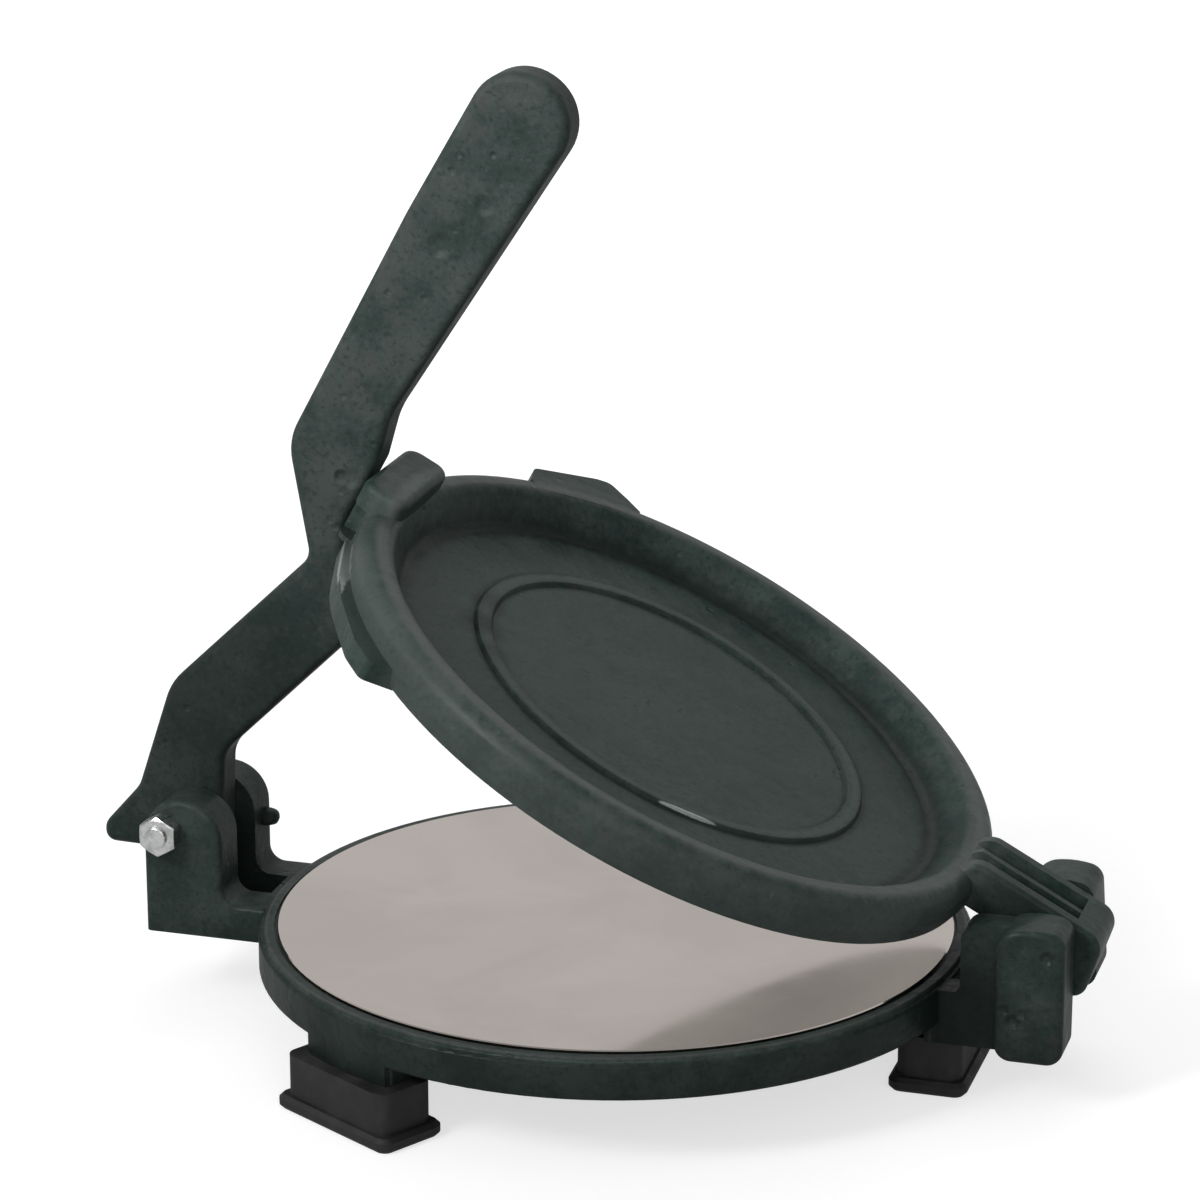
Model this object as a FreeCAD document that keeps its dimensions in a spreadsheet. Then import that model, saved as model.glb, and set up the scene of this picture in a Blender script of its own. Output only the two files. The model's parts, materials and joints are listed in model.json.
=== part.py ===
# A tabletop tortilla press: two round plates, a hinge at the back and a lever in front.
#
# The origin lies on the table under the middle of the whole press, +Z points up,
# +X points to the hinge and -X to the lever. Lengths are in millimetres, angles in degrees.
# The lid is modelled closed and then placed half open, leaning on the upright lever.

import FreeCAD
import Part
import math
import os
import Sketcher

# How near two coordinates of an edge lie that count as the same, and a level no edge reaches
SAME_PLACE = 0.01
FAR_AWAY = 1000.0

SIZES = [
    # the two pressing plates
    ("plate_radius", 101.6, "radius of both steel pressing plates"),
    ("plate_thick", 1.5, "thickness of both steel pressing plates"),
    ("plate_gap", 0.4, "gap between the two plates with the lid shut"),
    # the round body of the base casting
    ("floor_height", 34.0, "table to the floor of the plate recess"),
    ("groove_width", 0.9, "gap round the edge of the lower plate"),
    ("lip_height", 0.8, "lip over the floor of the plate recess"),
    ("lip_width", 3.1, "width of the lip round the plate recess"),
    ("lip_step", 1.3, "lip over the shoulder outside it"),
    ("shoulder_width", 1.7, "width of the shoulder outside the lip"),
    ("base_bottom", 22.6, "table to the lower edge of the base"),
    ("skirt_thick", 4.5, "thickness of the skirt under the base"),
    ("web_thick", 5.0, "thickness of the web under the lower plate"),
    ("lip_round", 1.0, "rounding of the upper and lower edge of the base"),
    ("hub_radius", 15.0, "radius of the hub under the base"),
    ("rib_thick", 4.5, "thickness of the ribs under the base"),
    ("rib_rise", 1.5, "lower edge of the ribs over the edge of the skirt"),
    # the feet
    ("foot_inset", 5.9, "outside of the base to the middle of a foot"),
    ("foot_length", 43.5, "length of the block of a foot, along the edge"),
    ("foot_width", 19.5, "width of the block of a foot"),
    ("flange_length", 49.0, "length of the flange of a foot"),
    ("flange_width", 23.5, "width of the flange of a foot"),
    ("flange_height", 4.4, "height of the flange of a foot"),
    ("foot_round", 4.0, "rounding of the corners of a foot"),
    ("foot_edge", 1.2, "slope of the lower edge of a foot"),
    ("foot_top", 17.0, "table to the top of the rubber feet"),
    ("pad_length", 34.0, "length of the cast pad over each foot"),
    ("pad_width", 15.8, "width of the cast pad over each foot"),
    ("screw_inset", 1.9, "middle of a foot to its screw, inwards"),
    ("screw_radius", 2.4, "radius of the foot screws"),
    ("screw_head_radius", 4.2, "radius of the head of a foot screw"),
    ("screw_head", 3.0, "height of the head of a foot screw"),
    ("screw_socket", 2.5, "width over the flats of the socket, halved"),
    ("screw_depth", 8.0, "length of a foot screw inside the casting"),
    ("screw_clearance", 0.1, "radial clearance of the foot screws"),
    ("washer_radius", 5.5, "radius of the washer of a foot screw"),
    ("washer_thick", 1.2, "thickness of the washer of a foot screw"),
    ("foot_grip", 10.0, "rubber between the washer and the casting"),
    ("foot_well", 6.4, "radius of the well for the screw head"),
    # the bracket of the lever
    ("lever_room", 1.024, "path of the press bar to the edge of the upright lever"),
    ("bolt_height", 55.5, "table to the lever bolt"),
    ("bracket_past", 6.7, "lever bolt to the end of the lever bracket"),
    ("bracket_half", 21.5, "half the width of the lever bracket"),
    ("bracket_wall", 33.5, "table to the top of the low walls of the bracket"),
    ("slot_half", 7.5, "half the width of the slot for the lever"),
    ("slot_floor", 27.0, "table to the floor of the slot"),
    ("slot_past", 0.7, "outside of the base to the inner end of the slot"),
    ("ear_width", 25.0, "width of an ear of the lever bracket"),
    ("ear_top", 65.5, "table to the top of the ears of the lever bracket"),
    ("ear_flare", 5.0, "hollow corner between an ear and the low wall"),
    ("ear_edge", 1.8, "rounding of the outer edges of the ears"),
    # the lever and its bolt
    ("lever_half", 6.8, "half the thickness of the lever"),
    ("lever_edge", 2.8, "rounding of the edges of the lever"),
    ("bolt_radius", 3.175, "radius of the lever bolt"),
    ("bolt_clearance", 0.08, "radial clearance of the lever on its bolt"),
    ("thread_clearance", 0.05, "radial clearance of bolt and pin in the castings"),
    ("hex_half", 5.55, "width over the flats of nut and bolt head, halved"),
    ("nut_thick", 5.6, "thickness of the nut"),
    ("head_thick", 4.2, "thickness of the bolt head"),
    ("bolt_end", 1.0, "bolt end standing out of the nut"),
    # the bracket of the hinge
    ("hinge_past", 25.7, "outside of the base to the hinge pin"),
    ("hinge_height", 39.6, "table to the hinge pin"),
    ("hinge_half", 29.5, "middle of the hinge to the outer face of the near ear"),
    ("hinge_far_half", 33.0, "middle of the hinge to the outer face of the far ear"),
    ("hinge_gap", 14.3, "half the gap between the ears of the hinge"),
    ("hinge_web_half", 24.0, "middle of the hinge to the outer face of each web"),
    ("web_past", 3.4, "outside of the base to the inner face of each web"),
    ("hinge_web_drop", 1.6, "top of the webs under the top of the ears"),
    ("ear_past", 9.0, "hinge pin to the outer end of the ears"),
    ("far_ear_bottom", 23.6, "table to the lower end of the far hinge ear"),
    ("hinge_bottom", 15.5, "table to the lower edge of the hinge ears"),
    ("far_ear_past", 11.2, "hinge pin to the lower outer end of the far ear"),
    ("hinge_top", 56.6, "table to the top of the hinge ears"),
    ("ear_before", 11.2, "hinge pin to the inner end of the ears"),
    ("hinge_crown", 1.0, "rise of the crowned top of the hinge ears"),
    ("crown_radius", 24.0, "radius of the crowned top of the hinge ears"),
    ("hinge_round", 5.0, "rounding of the corners of the hinge ears"),
    ("hinge_corner", 7.5, "rounding of the upper inner corner of the hinge ears"),
    ("hinge_edge", 2.2, "rounding of the outer edges of the hinge ears"),
    ("pin_radius", 4.0, "radius of the hinge pin"),
    ("pin_clearance", 0.08, "radial clearance of the hinge pin in the lid"),
    ("pin_cover", 4.5, "metal left over the blind end of the pin"),
    ("pin_inset", 0.5, "end of the pin under the face of the ear"),
    # the lid
    ("bar_drop", 7.641, "middle of the lever's straight edge to the middle plane of the open lid"),
    ("lid_wall", 2.8, "width of the lid outside the upper plate's seat"),
    ("lid_flare", 4.2, "height of the flared band over the upper plate"),
    ("plate_room", 0.6, "gap round the edge of the upper plate"),
    ("lid_lip", 1.2, "width of the lip round the upper plate"),
    ("lid_lip_rise", 0.4, "lip of the lid over the face of the upper plate"),
    ("lid_floor", 3.4, "thickness of the floor of the lid"),
    ("lid_rim", 14.2, "height of the rim of the lid"),
    ("rim_width", 9.5, "width of the top of the rim"),
    ("rim_slope", 7.0, "width of the sloping inside of the rim"),
    ("rim_round", 5.6, "rounding of the outer edge of the rim"),
    ("rim_inner_round", 4.0, "rounding of the inner edge of the rim"),
    ("ring_radius", 61.4, "radius of the raised ring on the lid"),
    ("ring_width", 5.2, "width of the raised ring on the lid"),
    ("ring_height", 1.3, "height of the raised ring on the lid"),
    ("bar_past", 4.4, "outside of the lid to the front of the press bar"),
    ("bar_width", 15.0, "width of the press bar"),
    ("bar_near", 18.0, "middle of the lid to the near end of the press bar"),
    ("bar_far", 24.0, "middle of the lid to the far end of the press bar"),
    ("bar_rise", 5.9, "top of the press bar over the rim"),
    ("bar_round", 2.4, "rounding of the upper edges of the press bar"),
    ("bar_corner", 5.0, "rounding of the corners of the press bar"),
    ("bar_hollow", 7.0, "length of the hollow under each end of the press bar"),
    ("rim_bite", 1.0, "depth of those hollows inside the rim's outer radius"),
    ("bar_lip", 8.0, "thickness of the overhanging ends of the press bar"),
    ("ledge_drop", 2.1, "lower face of the ledge under the lower face of the lid"),
    ("ledge_height", 4.2, "height of the ledge on the front of the lid"),
    ("lug_height", 9.5, "height of the finger lug on the rim"),
    ("neck_half", 13.0, "half the width of the neck of the lid"),
    ("neck_root", 9.0, "outside of the lid to the start of the neck, inwards"),
    ("ridge_width", 5.0, "width of the two ridges on the neck"),
    ("ridge_rise", 4.6, "top of the ridges over the rim"),
    ("neck_under", 5.0, "lower face of the neck over the lower face of the lid"),
    ("neck_bend", 14.5, "hinge pin to the bend under the neck"),
    ("channel_past", 1.0, "hinge pin to the end of the channel"),
    ("channel_depth", 3.4, "depth of the two grooves in the channel"),
    ("channel_rib", 2.4, "width of the rib between those grooves"),
    ("channel_rib_drop", 1.0, "top of that rib under the ridges"),
    ("tail_reach", 10.8, "hinge pin to the end of the tail"),
    ("tail_depth", 7.6, "hinge pin to the lower face of the neck there"),
    ("tail_seat", 4.0, "hinge pin to the start of the slope under the tail"),
    ("tail_foot", 14.0, "hinge pin to the lower corner of the tail"),
    ("tail_step", 1.8, "hinge pin to the lower corner of the tail, downwards"),
    ("tail_corner", 4.5, "rounding of the lower corner of the tail"),
    ("tail_round", 6.0, "rounding of the corners of the tail"),
    # the whole press
    ("toe_reach", 26.3, "lever bolt to the end of the toe of the lever"),
    ("toe_top", 5.6, "lever bolt to the upper corner of the toe, downwards"),
    ("toe_bottom", 11.4, "lever bolt to the lower corner of the toe, downwards"),
    ("toe_round", 4.5, "rounding of the upper corner of the toe"),
    ("toe_corner", 3.5, "rounding of the lower corner of the toe"),
    # shared
    ("mould_round", 2.0, "general rounding of cast corners"),
    ("small_bevel", 0.6, "bevel on the ends of bolts and pins"),
    ("overlap", 4.0, "length by which a cast feature runs into its neighbour"),
]

# Corners of the lever seen from the near side, measured from its bolt: across, up and rounding.
# They run up the right edge, round the tip and down the left edge to the toe.
LEVER_CORNERS = [
    ("lever_heel", 12.5, -12.5, 12.0),
    ("lever_root", 13.9, 21.5, 10.0),
    ("lever_knee", 54.4, 60.5, 6.0),
    ("lever_waist", 54.4, 96.9, 4.0),
    ("lever_shoulder", 65.3, 117.0, 6.0),
    ("lever_side", 69.5, 131.7, 25.0),
    ("lever_tip_right", 130.8, 224.9, 15.2),
    ("lever_tip_left", 103.7, 241.5, 15.2),
    ("lever_back", 75.1, 192.8, 150.0),
    ("lever_elbow", 36.9, 121.7, 18.0),
    ("lever_hollow", 43.1, 86.1, 6.0),
    ("lever_belly", -3.1, 42.1, 20.0),
    ("lever_nose", -14.5, 7.8, 10.0),
]

# Corners of a ledge in front of the lid and of the finger lug: how far each lies outside the lid,
# and its rounding, where a corner without one is sharp
RIM_CORNERS = [
    ("ledge_root", -7.35, None),
    ("ledge_start", 2.31, None),
    ("ledge_middle", 4.83, 70.0),
    ("ledge_bend", 6.93, 12.0),
    ("ledge_end", 6.72, 2.5),
    ("ledge_return", -4.2, None),
    ("lug_root", -6.3, None),
    ("lug_start", -3.36, None),
    ("lug_rise", 2.52, 2.5),
    ("lug_top", 9.66, 3.0),
    ("lug_crown", 9.345, 5.0),
    ("lug_slope", 4.725, 4.0),
    ("lug_end", -3.15, None),
    ("lug_return", -7.35, None),
]

# The angles of those corners, of a ledge from the lever's side and of the lug from the hinge's
RIM_ANGLES = {
    "ledge": (10, 13.5, 30, 45, 50, 52.5),
    "lug": (118, 117, 119, 121.5, 124, 137, 140, 139),
}

for name, across, up, radius in LEVER_CORNERS:
    SIZES.append((f"{name}_across", across, "lever bolt to that corner, across"))
    SIZES.append((f"{name}_up", up, "lever bolt to that corner, upwards"))
    SIZES.append((f"{name}_round", radius, "rounding of that corner"))
for name, out, radius in RIM_CORNERS:
    SIZES.append((f"{name}_out", out, "outside of the lid to that corner"))
    if radius:
        SIZES.append((f"{name}_round", radius, "rounding of that corner"))


class Measure:
    """A length or angle, kept as its number and as the sheet's expression for it."""

    def __init__(self, number, text):
        self.number = number
        self.text = text

    def __add__(self, other):
        other = measure(other)
        return Measure(self.number + other.number, f"({self.text} + {other.text})")

    def __sub__(self, other):
        other = measure(other)
        return Measure(self.number - other.number, f"({self.text} - {other.text})")

    def __mul__(self, other):
        other = measure(other)
        return Measure(self.number * other.number, f"({self.text} * {other.text})")

    def __truediv__(self, other):
        other = measure(other)
        return Measure(self.number / other.number, f"({self.text} / {other.text})")

    def __neg__(self):
        return Measure(-self.number, f"(0 - {self.text})")


def measure(value):
    return value if isinstance(value, Measure) else Measure(float(value), repr(float(value)))


def sine(angle):
    return Measure(math.sin(math.radians(angle.number)), f"sin({angle.text} * 1 deg)")


def cosine(angle):
    return Measure(math.cos(math.radians(angle.number)), f"cos({angle.text} * 1 deg)")


def root(value):
    """The square root of a square of lengths."""
    return Measure(math.sqrt(value.number), f"sqrt({value.text})")


def angle_of_sine(share):
    """The angle in degrees whose sine is this share."""
    return Measure(math.degrees(math.asin(share.number)), f"(asin({share.text}) / 1 deg)")


def polar(radius, angle):
    """The point at a radius and an angle from the centre of the plates."""
    angle = measure(angle)
    return radius * cosine(angle), radius * sine(angle)


doc = FreeCAD.newDocument("tortilla_press")
sheet = doc.addObject("Spreadsheet::Sheet", "sizes")
for number, (alias, value, meaning) in enumerate(SIZES, start=1):
    sheet.set(f"A{number}", meaning)
    sheet.set(f"B{number}", repr(value))
    sheet.setAlias(f"B{number}", alias)
doc.recompute()


class size:
    """Every settable size of the press by its name."""


for alias, value, meaning in SIZES:
    setattr(size, alias, Measure(value, f"sizes.{alias}"))


# Radii and places that follow from the plates
size.recess_radius = size.plate_radius + size.groove_width
size.lip_radius = size.recess_radius + size.lip_width
size.base_radius = size.lip_radius + size.shoulder_width
size.foot_circle = size.base_radius - size.foot_inset
size.screw_circle = size.foot_circle - size.screw_inset
size.hinge_reach = size.base_radius + size.hinge_past
size.plate_seat = size.plate_radius + size.plate_room
size.lid_radius = size.plate_seat + size.lid_wall
size.bar_reach = size.lid_radius + size.bar_past
size.neck_start = size.lid_radius - size.neck_root

# Levels of the base, and those of the lid measured from the pin
size.lip_top = size.floor_height + size.lip_height
size.shoulder = size.lip_top - size.lip_step
size.screw_seat = size.foot_top - size.foot_grip
size.lid_face = size.floor_height + size.plate_thick + size.plate_gap - size.hinge_height
size.lid_bottom = size.lid_face + size.plate_thick
size.rim_top = size.lid_bottom + size.lid_rim
size.floor_top = size.lid_bottom + size.lid_floor
size.ridge_top = size.rim_top + size.ridge_rise

# The lever's straight edge stands just clear of the path of the press bar, which at rest
# lies against the middle of that edge
edge_across = (size.lever_waist_across + size.lever_shoulder_across) / 2
edge_up = (size.lever_waist_up + size.lever_shoulder_up) / 2
edge_rise = size.bolt_height + edge_up - size.hinge_height
swing = size.hinge_reach + size.bar_reach
edge_distance = swing + size.lever_room
size.bolt_reach = (root(edge_distance * edge_distance - edge_rise * edge_rise)
                   + edge_across - size.hinge_reach)
size.open_angle = angle_of_sine((edge_rise - size.bar_drop) / swing)

# The tail and the toe reach furthest, and the origin lies in the middle between them
size.tail_spread = ((size.tail_reach - size.tail_round) * cosine(size.open_angle)
                    + (size.ridge_top - size.tail_round) * sine(size.open_angle)
                    + size.tail_round)
size.shift = (size.bolt_reach + size.toe_reach - size.hinge_reach - size.tail_spread) / 2


def rim_corners(name, turn):
    """The corners of an outline on the rim of the lid, at angles that turn() works out."""
    corners = []
    rows = [row for row in RIM_CORNERS if row[0].startswith(name)]
    for (corner, out, radius), angle in zip(rows, RIM_ANGLES[name]):
        place = polar(size.lid_radius + getattr(size, f"{corner}_out"), turn(angle))
        rounded = (getattr(size, f"{corner}_round"),) if radius else ()
        corners.append(place + rounded)
    return corners


def bind(thing, path, value):
    """Tie one property to the sheet."""
    thing.setExpression(path, measure(value).text)


def body(name, x=0, z=0, angle=0, axis=(0, 1, 0)):
    """An empty body, placed by x and z and turned by an angle about an axis."""
    made = doc.addObject("PartDesign::Body", name)
    made.Label = name
    angle = measure(angle)
    turn = FreeCAD.Rotation(FreeCAD.Vector(axis), angle.number)
    made.Placement = FreeCAD.Placement(FreeCAD.Vector(), turn)
    if angle.number:
        bind(made, "Placement.Rotation.Angle", angle)
    bind(made, "Placement.Base.x", size.shift + x)
    bind(made, "Placement.Base.z", z)
    return made


def sketch(owner, name, plane, offset=0):
    """A sketch on a plane of the body, moved along the plane's own normal."""
    made = owner.newObject("Sketcher::SketchObject", name)
    made.AttachmentSupport = [(datum(owner, plane), "")]
    made.MapMode = "FlatFace"
    bind(made, "AttachmentOffset.Base.z", offset)
    return made


def fix(drawing, index, point, x, y):
    """Hold one point of a sketch at x, y from the origin of the sketch."""
    for kind, axis, value in (("DistanceX", -2, x), ("DistanceY", -1, y)):
        value = measure(value)
        if value.text == "0.0":
            drawing.addConstraint(Sketcher.Constraint("PointOnObject", index, point, axis))
            continue
        made = drawing.addConstraint(
            Sketcher.Constraint(kind, -1, 1, index, point, value.number))
        drawing.setExpression(f"Constraints[{made}]", value.text)


def circle(drawing, radius, x=0, y=0):
    """A circle about the point x, y."""
    centre = FreeCAD.Vector(measure(x).number, measure(y).number, 0)
    index = drawing.addGeometry(Part.Circle(centre, FreeCAD.Vector(0, 0, 1), radius.number))
    fix(drawing, index, 3, x, y)
    made = drawing.addConstraint(Sketcher.Constraint("Radius", index, radius.number))
    drawing.setExpression(f"Constraints[{made}]", radius.text)


def outline(drawing, corners):
    """A closed outline through corners (x, y) or rounded corners (x, y, radius)."""
    corners = [tuple(measure(part) for part in corner) for corner in corners]
    places = [FreeCAD.Vector(corner[0].number, corner[1].number, 0) for corner in corners]
    count = len(corners)
    starts, ends, centres = [], [], []
    for place, corner in enumerate(corners):
        here = places[place]
        back = (places[place - 1] - here).normalize()
        ahead = (places[(place + 1) % count] - here).normalize()
        if len(corner) == 2:
            starts.append(here)
            ends.append(here)
            centres.append(None)
            continue
        half = back.getAngle(ahead) / 2
        reach = corner[2].number / math.tan(half)
        starts.append(here + back * reach)
        ends.append(here + ahead * reach)
        centres.append(here + (back + ahead).normalize() * (corner[2].number / math.sin(half)))
    lines = [drawing.addGeometry(Part.LineSegment(ends[k], starts[(k + 1) % count]))
             for k in range(count)]
    for place, corner in enumerate(corners):
        before, after = lines[place - 1], lines[place]
        if len(corner) == 2:
            drawing.addConstraint(Sketcher.Constraint("Coincident", before, 2, after, 1))
            fix(drawing, after, 1, corner[0], corner[1])
            continue
        mark = drawing.addGeometry(Part.Point(places[place]), True)
        fix(drawing, mark, 1, corner[0], corner[1])
        drawing.addConstraint(Sketcher.Constraint("PointOnObject", mark, 1, before))
        drawing.addConstraint(Sketcher.Constraint("PointOnObject", mark, 1, after))
        first = starts[place] - centres[place]
        last = ends[place] - centres[place]
        turn = first.cross(last).z
        from_angle, to_angle = math.atan2(first.y, first.x), math.atan2(last.y, last.x)
        if turn < 0:
            from_angle, to_angle = to_angle, from_angle
        ring = Part.Circle(centres[place], FreeCAD.Vector(0, 0, 1), corner[2].number)
        arc = drawing.addGeometry(Part.ArcOfCircle(ring, from_angle, to_angle))
        head, tail = (1, 2) if turn > 0 else (2, 1)
        drawing.addConstraint(Sketcher.Constraint("Tangent", before, 2, arc, head))
        drawing.addConstraint(Sketcher.Constraint("Tangent", after, 1, arc, tail))
        made = drawing.addConstraint(Sketcher.Constraint("Radius", arc, corner[2].number))
        drawing.setExpression(f"Constraints[{made}]", corner[2].text)


def box(x0, x1, y0, y1, radius=None):
    """The four corners of an upright rectangle."""
    rounded = () if radius is None else (radius,)
    return [(x0, y0) + rounded, (x1, y0) + rounded, (x1, y1) + rounded, (x0, y1) + rounded]


def feature(owner, kind, name, drawing, length, midplane=False, backwards=False):
    """A pad or a pocket of a sketch."""
    made = owner.newObject(f"PartDesign::{kind}", name)
    made.Profile = drawing
    made.Midplane = midplane
    made.Reversed = backwards
    bind(made, "Length", length)
    drawing.Visibility = False
    doc.recompute()
    return made


def turned(owner, kind, name, drawing):
    """A revolution or a groove of a sketch about its own upright axis."""
    made = owner.newObject(f"PartDesign::{kind}", name)
    made.Profile = drawing
    made.ReferenceAxis = (drawing, ["V_Axis"])
    drawing.Visibility = False
    doc.recompute()
    return made


def datum(owner, role):
    """A plane or an axis of a body's own origin."""
    return [made for made in owner.Origin.OriginFeatures if made.Role == role][0]


def around(owner, name, features, count):
    """Copies of features about the upright axis of the body."""
    made = owner.newObject("PartDesign::PolarPattern", name)
    made.Originals = features
    made.Axis = (datum(owner, "Z_Axis"), [""])
    made.Angle = 360
    made.Occurrences = count
    owner.Tip = made
    doc.recompute()
    return made


def edges_of(base, wanted):
    """The names of a feature's edges, picked by their middle point and bounds."""
    names = []
    for number, edge in enumerate(base.Shape.Edges, start=1):
        middle = edge.valueAt((edge.FirstParameter + edge.LastParameter) / 2)
        if wanted(middle, edge.BoundBox):
            names.append(f"Edge{number}")
    return names


def rounding(owner, name, radius, wanted, kind="Fillet"):
    """A fillet or a chamfer along the wanted edges."""
    base = owner.Tip
    made = owner.newObject(f"PartDesign::{kind}", name)
    made.Base = (base, edges_of(base, wanted))
    bind(made, "Radius" if kind == "Fillet" else "Size", radius)
    base.Visibility = False
    doc.recompute()
    return made


def near(value, target):
    """Whether a coordinate of an edge lies on a plane of the part."""
    return abs(value - target.number) < SAME_PLACE


def on_side(bounds, half):
    """Whether an edge lies flat on one of the two outer side faces."""
    return any(near(bounds.YMin, side) and near(bounds.YMax, side) for side in (half, -half))


# The base: one casting with a lipped recess, a ribbed underside and two brackets
def base_round(base):
    """The round body with its recess, skirt, web and hub."""
    profile = sketch(base, "base_profile", "XZ_Plane")
    web_under = size.floor_height - size.web_thick
    rib_under = size.base_bottom + size.rib_rise
    skirt_inside = size.base_radius - size.skirt_thick
    outline(profile, [
        (0, rib_under),
        (size.hub_radius, rib_under),
        (size.hub_radius, web_under, size.mould_round),
        (skirt_inside, web_under, size.mould_round),
        (skirt_inside, size.base_bottom),
        (size.base_radius, size.base_bottom, size.lip_round),
        (size.base_radius, size.shoulder, size.lip_round),
        (size.lip_radius, size.shoulder, size.small_bevel),
        (size.lip_radius, size.lip_top, size.small_bevel),
        (size.recess_radius, size.lip_top),
        (size.recess_radius, size.floor_height),
        (0, size.floor_height)])
    turned(base, "Revolution", "base_disc", profile)
    plan = sketch(base, "rib_plan", "XY_Plane", rib_under)
    outline(plan, box(size.hub_radius - size.overlap, skirt_inside + size.mould_round,
                      -(size.rib_thick / 2), size.rib_thick / 2))
    rib_height = web_under + size.mould_round - rib_under
    rib = feature(base, "Pad", "rib", plan, rib_height)
    around(base, "ribs", [rib], 6)
    plan = sketch(base, "foot_pad_plan", "XY_Plane", size.foot_top)
    # the outer face is the base's own arc, met by a short flat at each end of the pad
    pad_half = size.pad_length / 2
    flat = angle_of_sine(pad_half / size.base_radius * 0.897)
    flat_end = (size.base_radius - pad_half * sine(flat)) / cosine(flat)
    outline(plan, [
        (size.base_radius - size.pad_width, -pad_half, size.mould_round),
        (flat_end, -pad_half),
        (size.base_radius / cosine(flat), 0, size.base_radius),
        (flat_end, pad_half),
        (size.base_radius - size.pad_width, pad_half, size.mould_round)])
    pad = feature(base, "Pad", "foot_pad", plan, web_under + size.mould_round - size.foot_top)
    around(base, "foot_pads", [pad], 3)
    plan = sketch(base, "screw_hole_plan", "XY_Plane", size.foot_top)
    circle(plan, size.screw_radius + size.screw_clearance, size.screw_circle)
    depth = size.screw_depth + size.screw_clearance * 10
    hole = feature(base, "Pocket", "screw_hole", plan, depth, backwards=True)
    around(base, "screw_holes", [hole], 3)


def lever_bracket(base):
    """Two ears on a low block, with the slot for the lever between them."""
    bracket_reach = size.bolt_reach + size.bracket_past
    slot_end = size.base_radius + size.slot_past
    plan = sketch(base, "bracket_block_plan", "XY_Plane", size.base_bottom)
    outline(plan, box(-bracket_reach, size.overlap / 2 - size.recess_radius,
                      -size.bracket_half, size.bracket_half))
    feature(base, "Pad", "bracket_block", plan, size.bracket_wall - size.base_bottom)
    profile = sketch(base, "bracket_ear_profile", "XZ_Plane")
    ear_inside = size.ear_width - bracket_reach
    ear_round = size.ear_width * 0.49
    outline(profile, [
        (-bracket_reach, size.base_bottom),
        (ear_inside + size.ear_flare * 1.2, size.base_bottom),
        (ear_inside + size.ear_flare * 1.2, size.bracket_wall),
        (ear_inside, size.bracket_wall, size.ear_flare),
        (ear_inside, size.ear_top, ear_round),
        (-bracket_reach, size.ear_top, ear_round)])
    feature(base, "Pad", "bracket_ears", profile, size.bracket_half * 2, midplane=True)
    profile = sketch(base, "lever_slot_profile", "XZ_Plane")
    slot_top = size.ear_top + size.overlap
    outline(profile, [
        (-(bracket_reach + size.overlap), size.slot_floor),
        (-slot_end, size.slot_floor, size.mould_round),
        (-slot_end, slot_top),
        (-(bracket_reach + size.overlap), slot_top)])
    feature(base, "Pocket", "lever_slot", profile, size.slot_half * 2, midplane=True)
    rounding(base, "bracket_ear_rounding", size.ear_edge, lambda middle, bounds:
             on_side(bounds, size.bracket_half)
             and (near(middle.x, -bracket_reach) or near(middle.x, ear_inside)
                  or middle.z > size.bracket_wall.number))


def hinge_bracket(base):
    """Two ears for the hinge pin, each on a narrower web that joins it to the round body."""
    ear_start = size.hinge_reach - size.ear_before
    for side, face, half, bottom, past in (
            ("near", size.hinge_gap, size.hinge_half, size.hinge_bottom, size.ear_past),
            ("far", -size.hinge_far_half, size.hinge_far_half, size.far_ear_bottom,
             size.far_ear_past)):
        profile = sketch(base, f"{side}_hinge_ear_profile", "XZ_Plane", face)
        outline(profile, [
            (ear_start, bottom, size.hinge_round),
            (size.hinge_reach + past, bottom, size.hinge_round),
            (size.hinge_reach + size.ear_past, size.hinge_top - size.hinge_crown,
             size.hinge_round),
            (size.hinge_reach, size.hinge_top + size.hinge_crown / 2, size.crown_radius),
            (ear_start, size.hinge_top - size.hinge_crown, size.hinge_corner)])
        feature(base, "Pad", f"{side}_hinge_ear", profile, half - size.hinge_gap)
    rounding(base, "hinge_ear_rounding", size.hinge_edge, lambda middle, bounds:
             on_side(bounds, size.hinge_half) or on_side(bounds, size.hinge_far_half))
    web_start = size.base_radius + size.web_past
    web_end = ear_start + size.hinge_corner
    web_top = size.hinge_top - size.hinge_web_drop
    for side, face in (("near", size.hinge_gap), ("far", -size.hinge_web_half)):
        profile = sketch(base, f"{side}_hinge_web_profile", "XZ_Plane", face)
        outline(profile, [
            (size.recess_radius - size.mould_round, size.foot_top),
            (web_end, size.foot_top),
            (web_end, web_top),
            (web_start, web_top, size.hinge_round),
            (web_start, size.shoulder, size.mould_round),
            (size.recess_radius - size.mould_round, size.shoulder)])
        feature(base, "Pad", f"{side}_hinge_web", profile, size.hinge_web_half - size.hinge_gap)


def cross_bores(base):
    """The bores of both brackets; the one of the hinge stops short of the near face."""
    profile = sketch(base, "pin_bore_profile", "XZ_Plane", size.hinge_half - size.pin_cover)
    circle(profile, size.pin_radius + size.thread_clearance, size.hinge_reach, size.hinge_height)
    feature(base, "Pocket", "pin_bore", profile, size.hinge_half * 3)
    profile = sketch(base, "bolt_hole_profile", "XZ_Plane")
    circle(profile, size.bolt_radius + size.thread_clearance, -size.bolt_reach, size.bolt_height)
    feature(base, "Pocket", "bolt_hole", profile, size.bracket_half * 3, midplane=True)


def base_casting():
    base = body("base_casting")
    hinge_bracket(base)
    lever_bracket(base)
    base_round(base)
    cross_bores(base)


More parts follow.
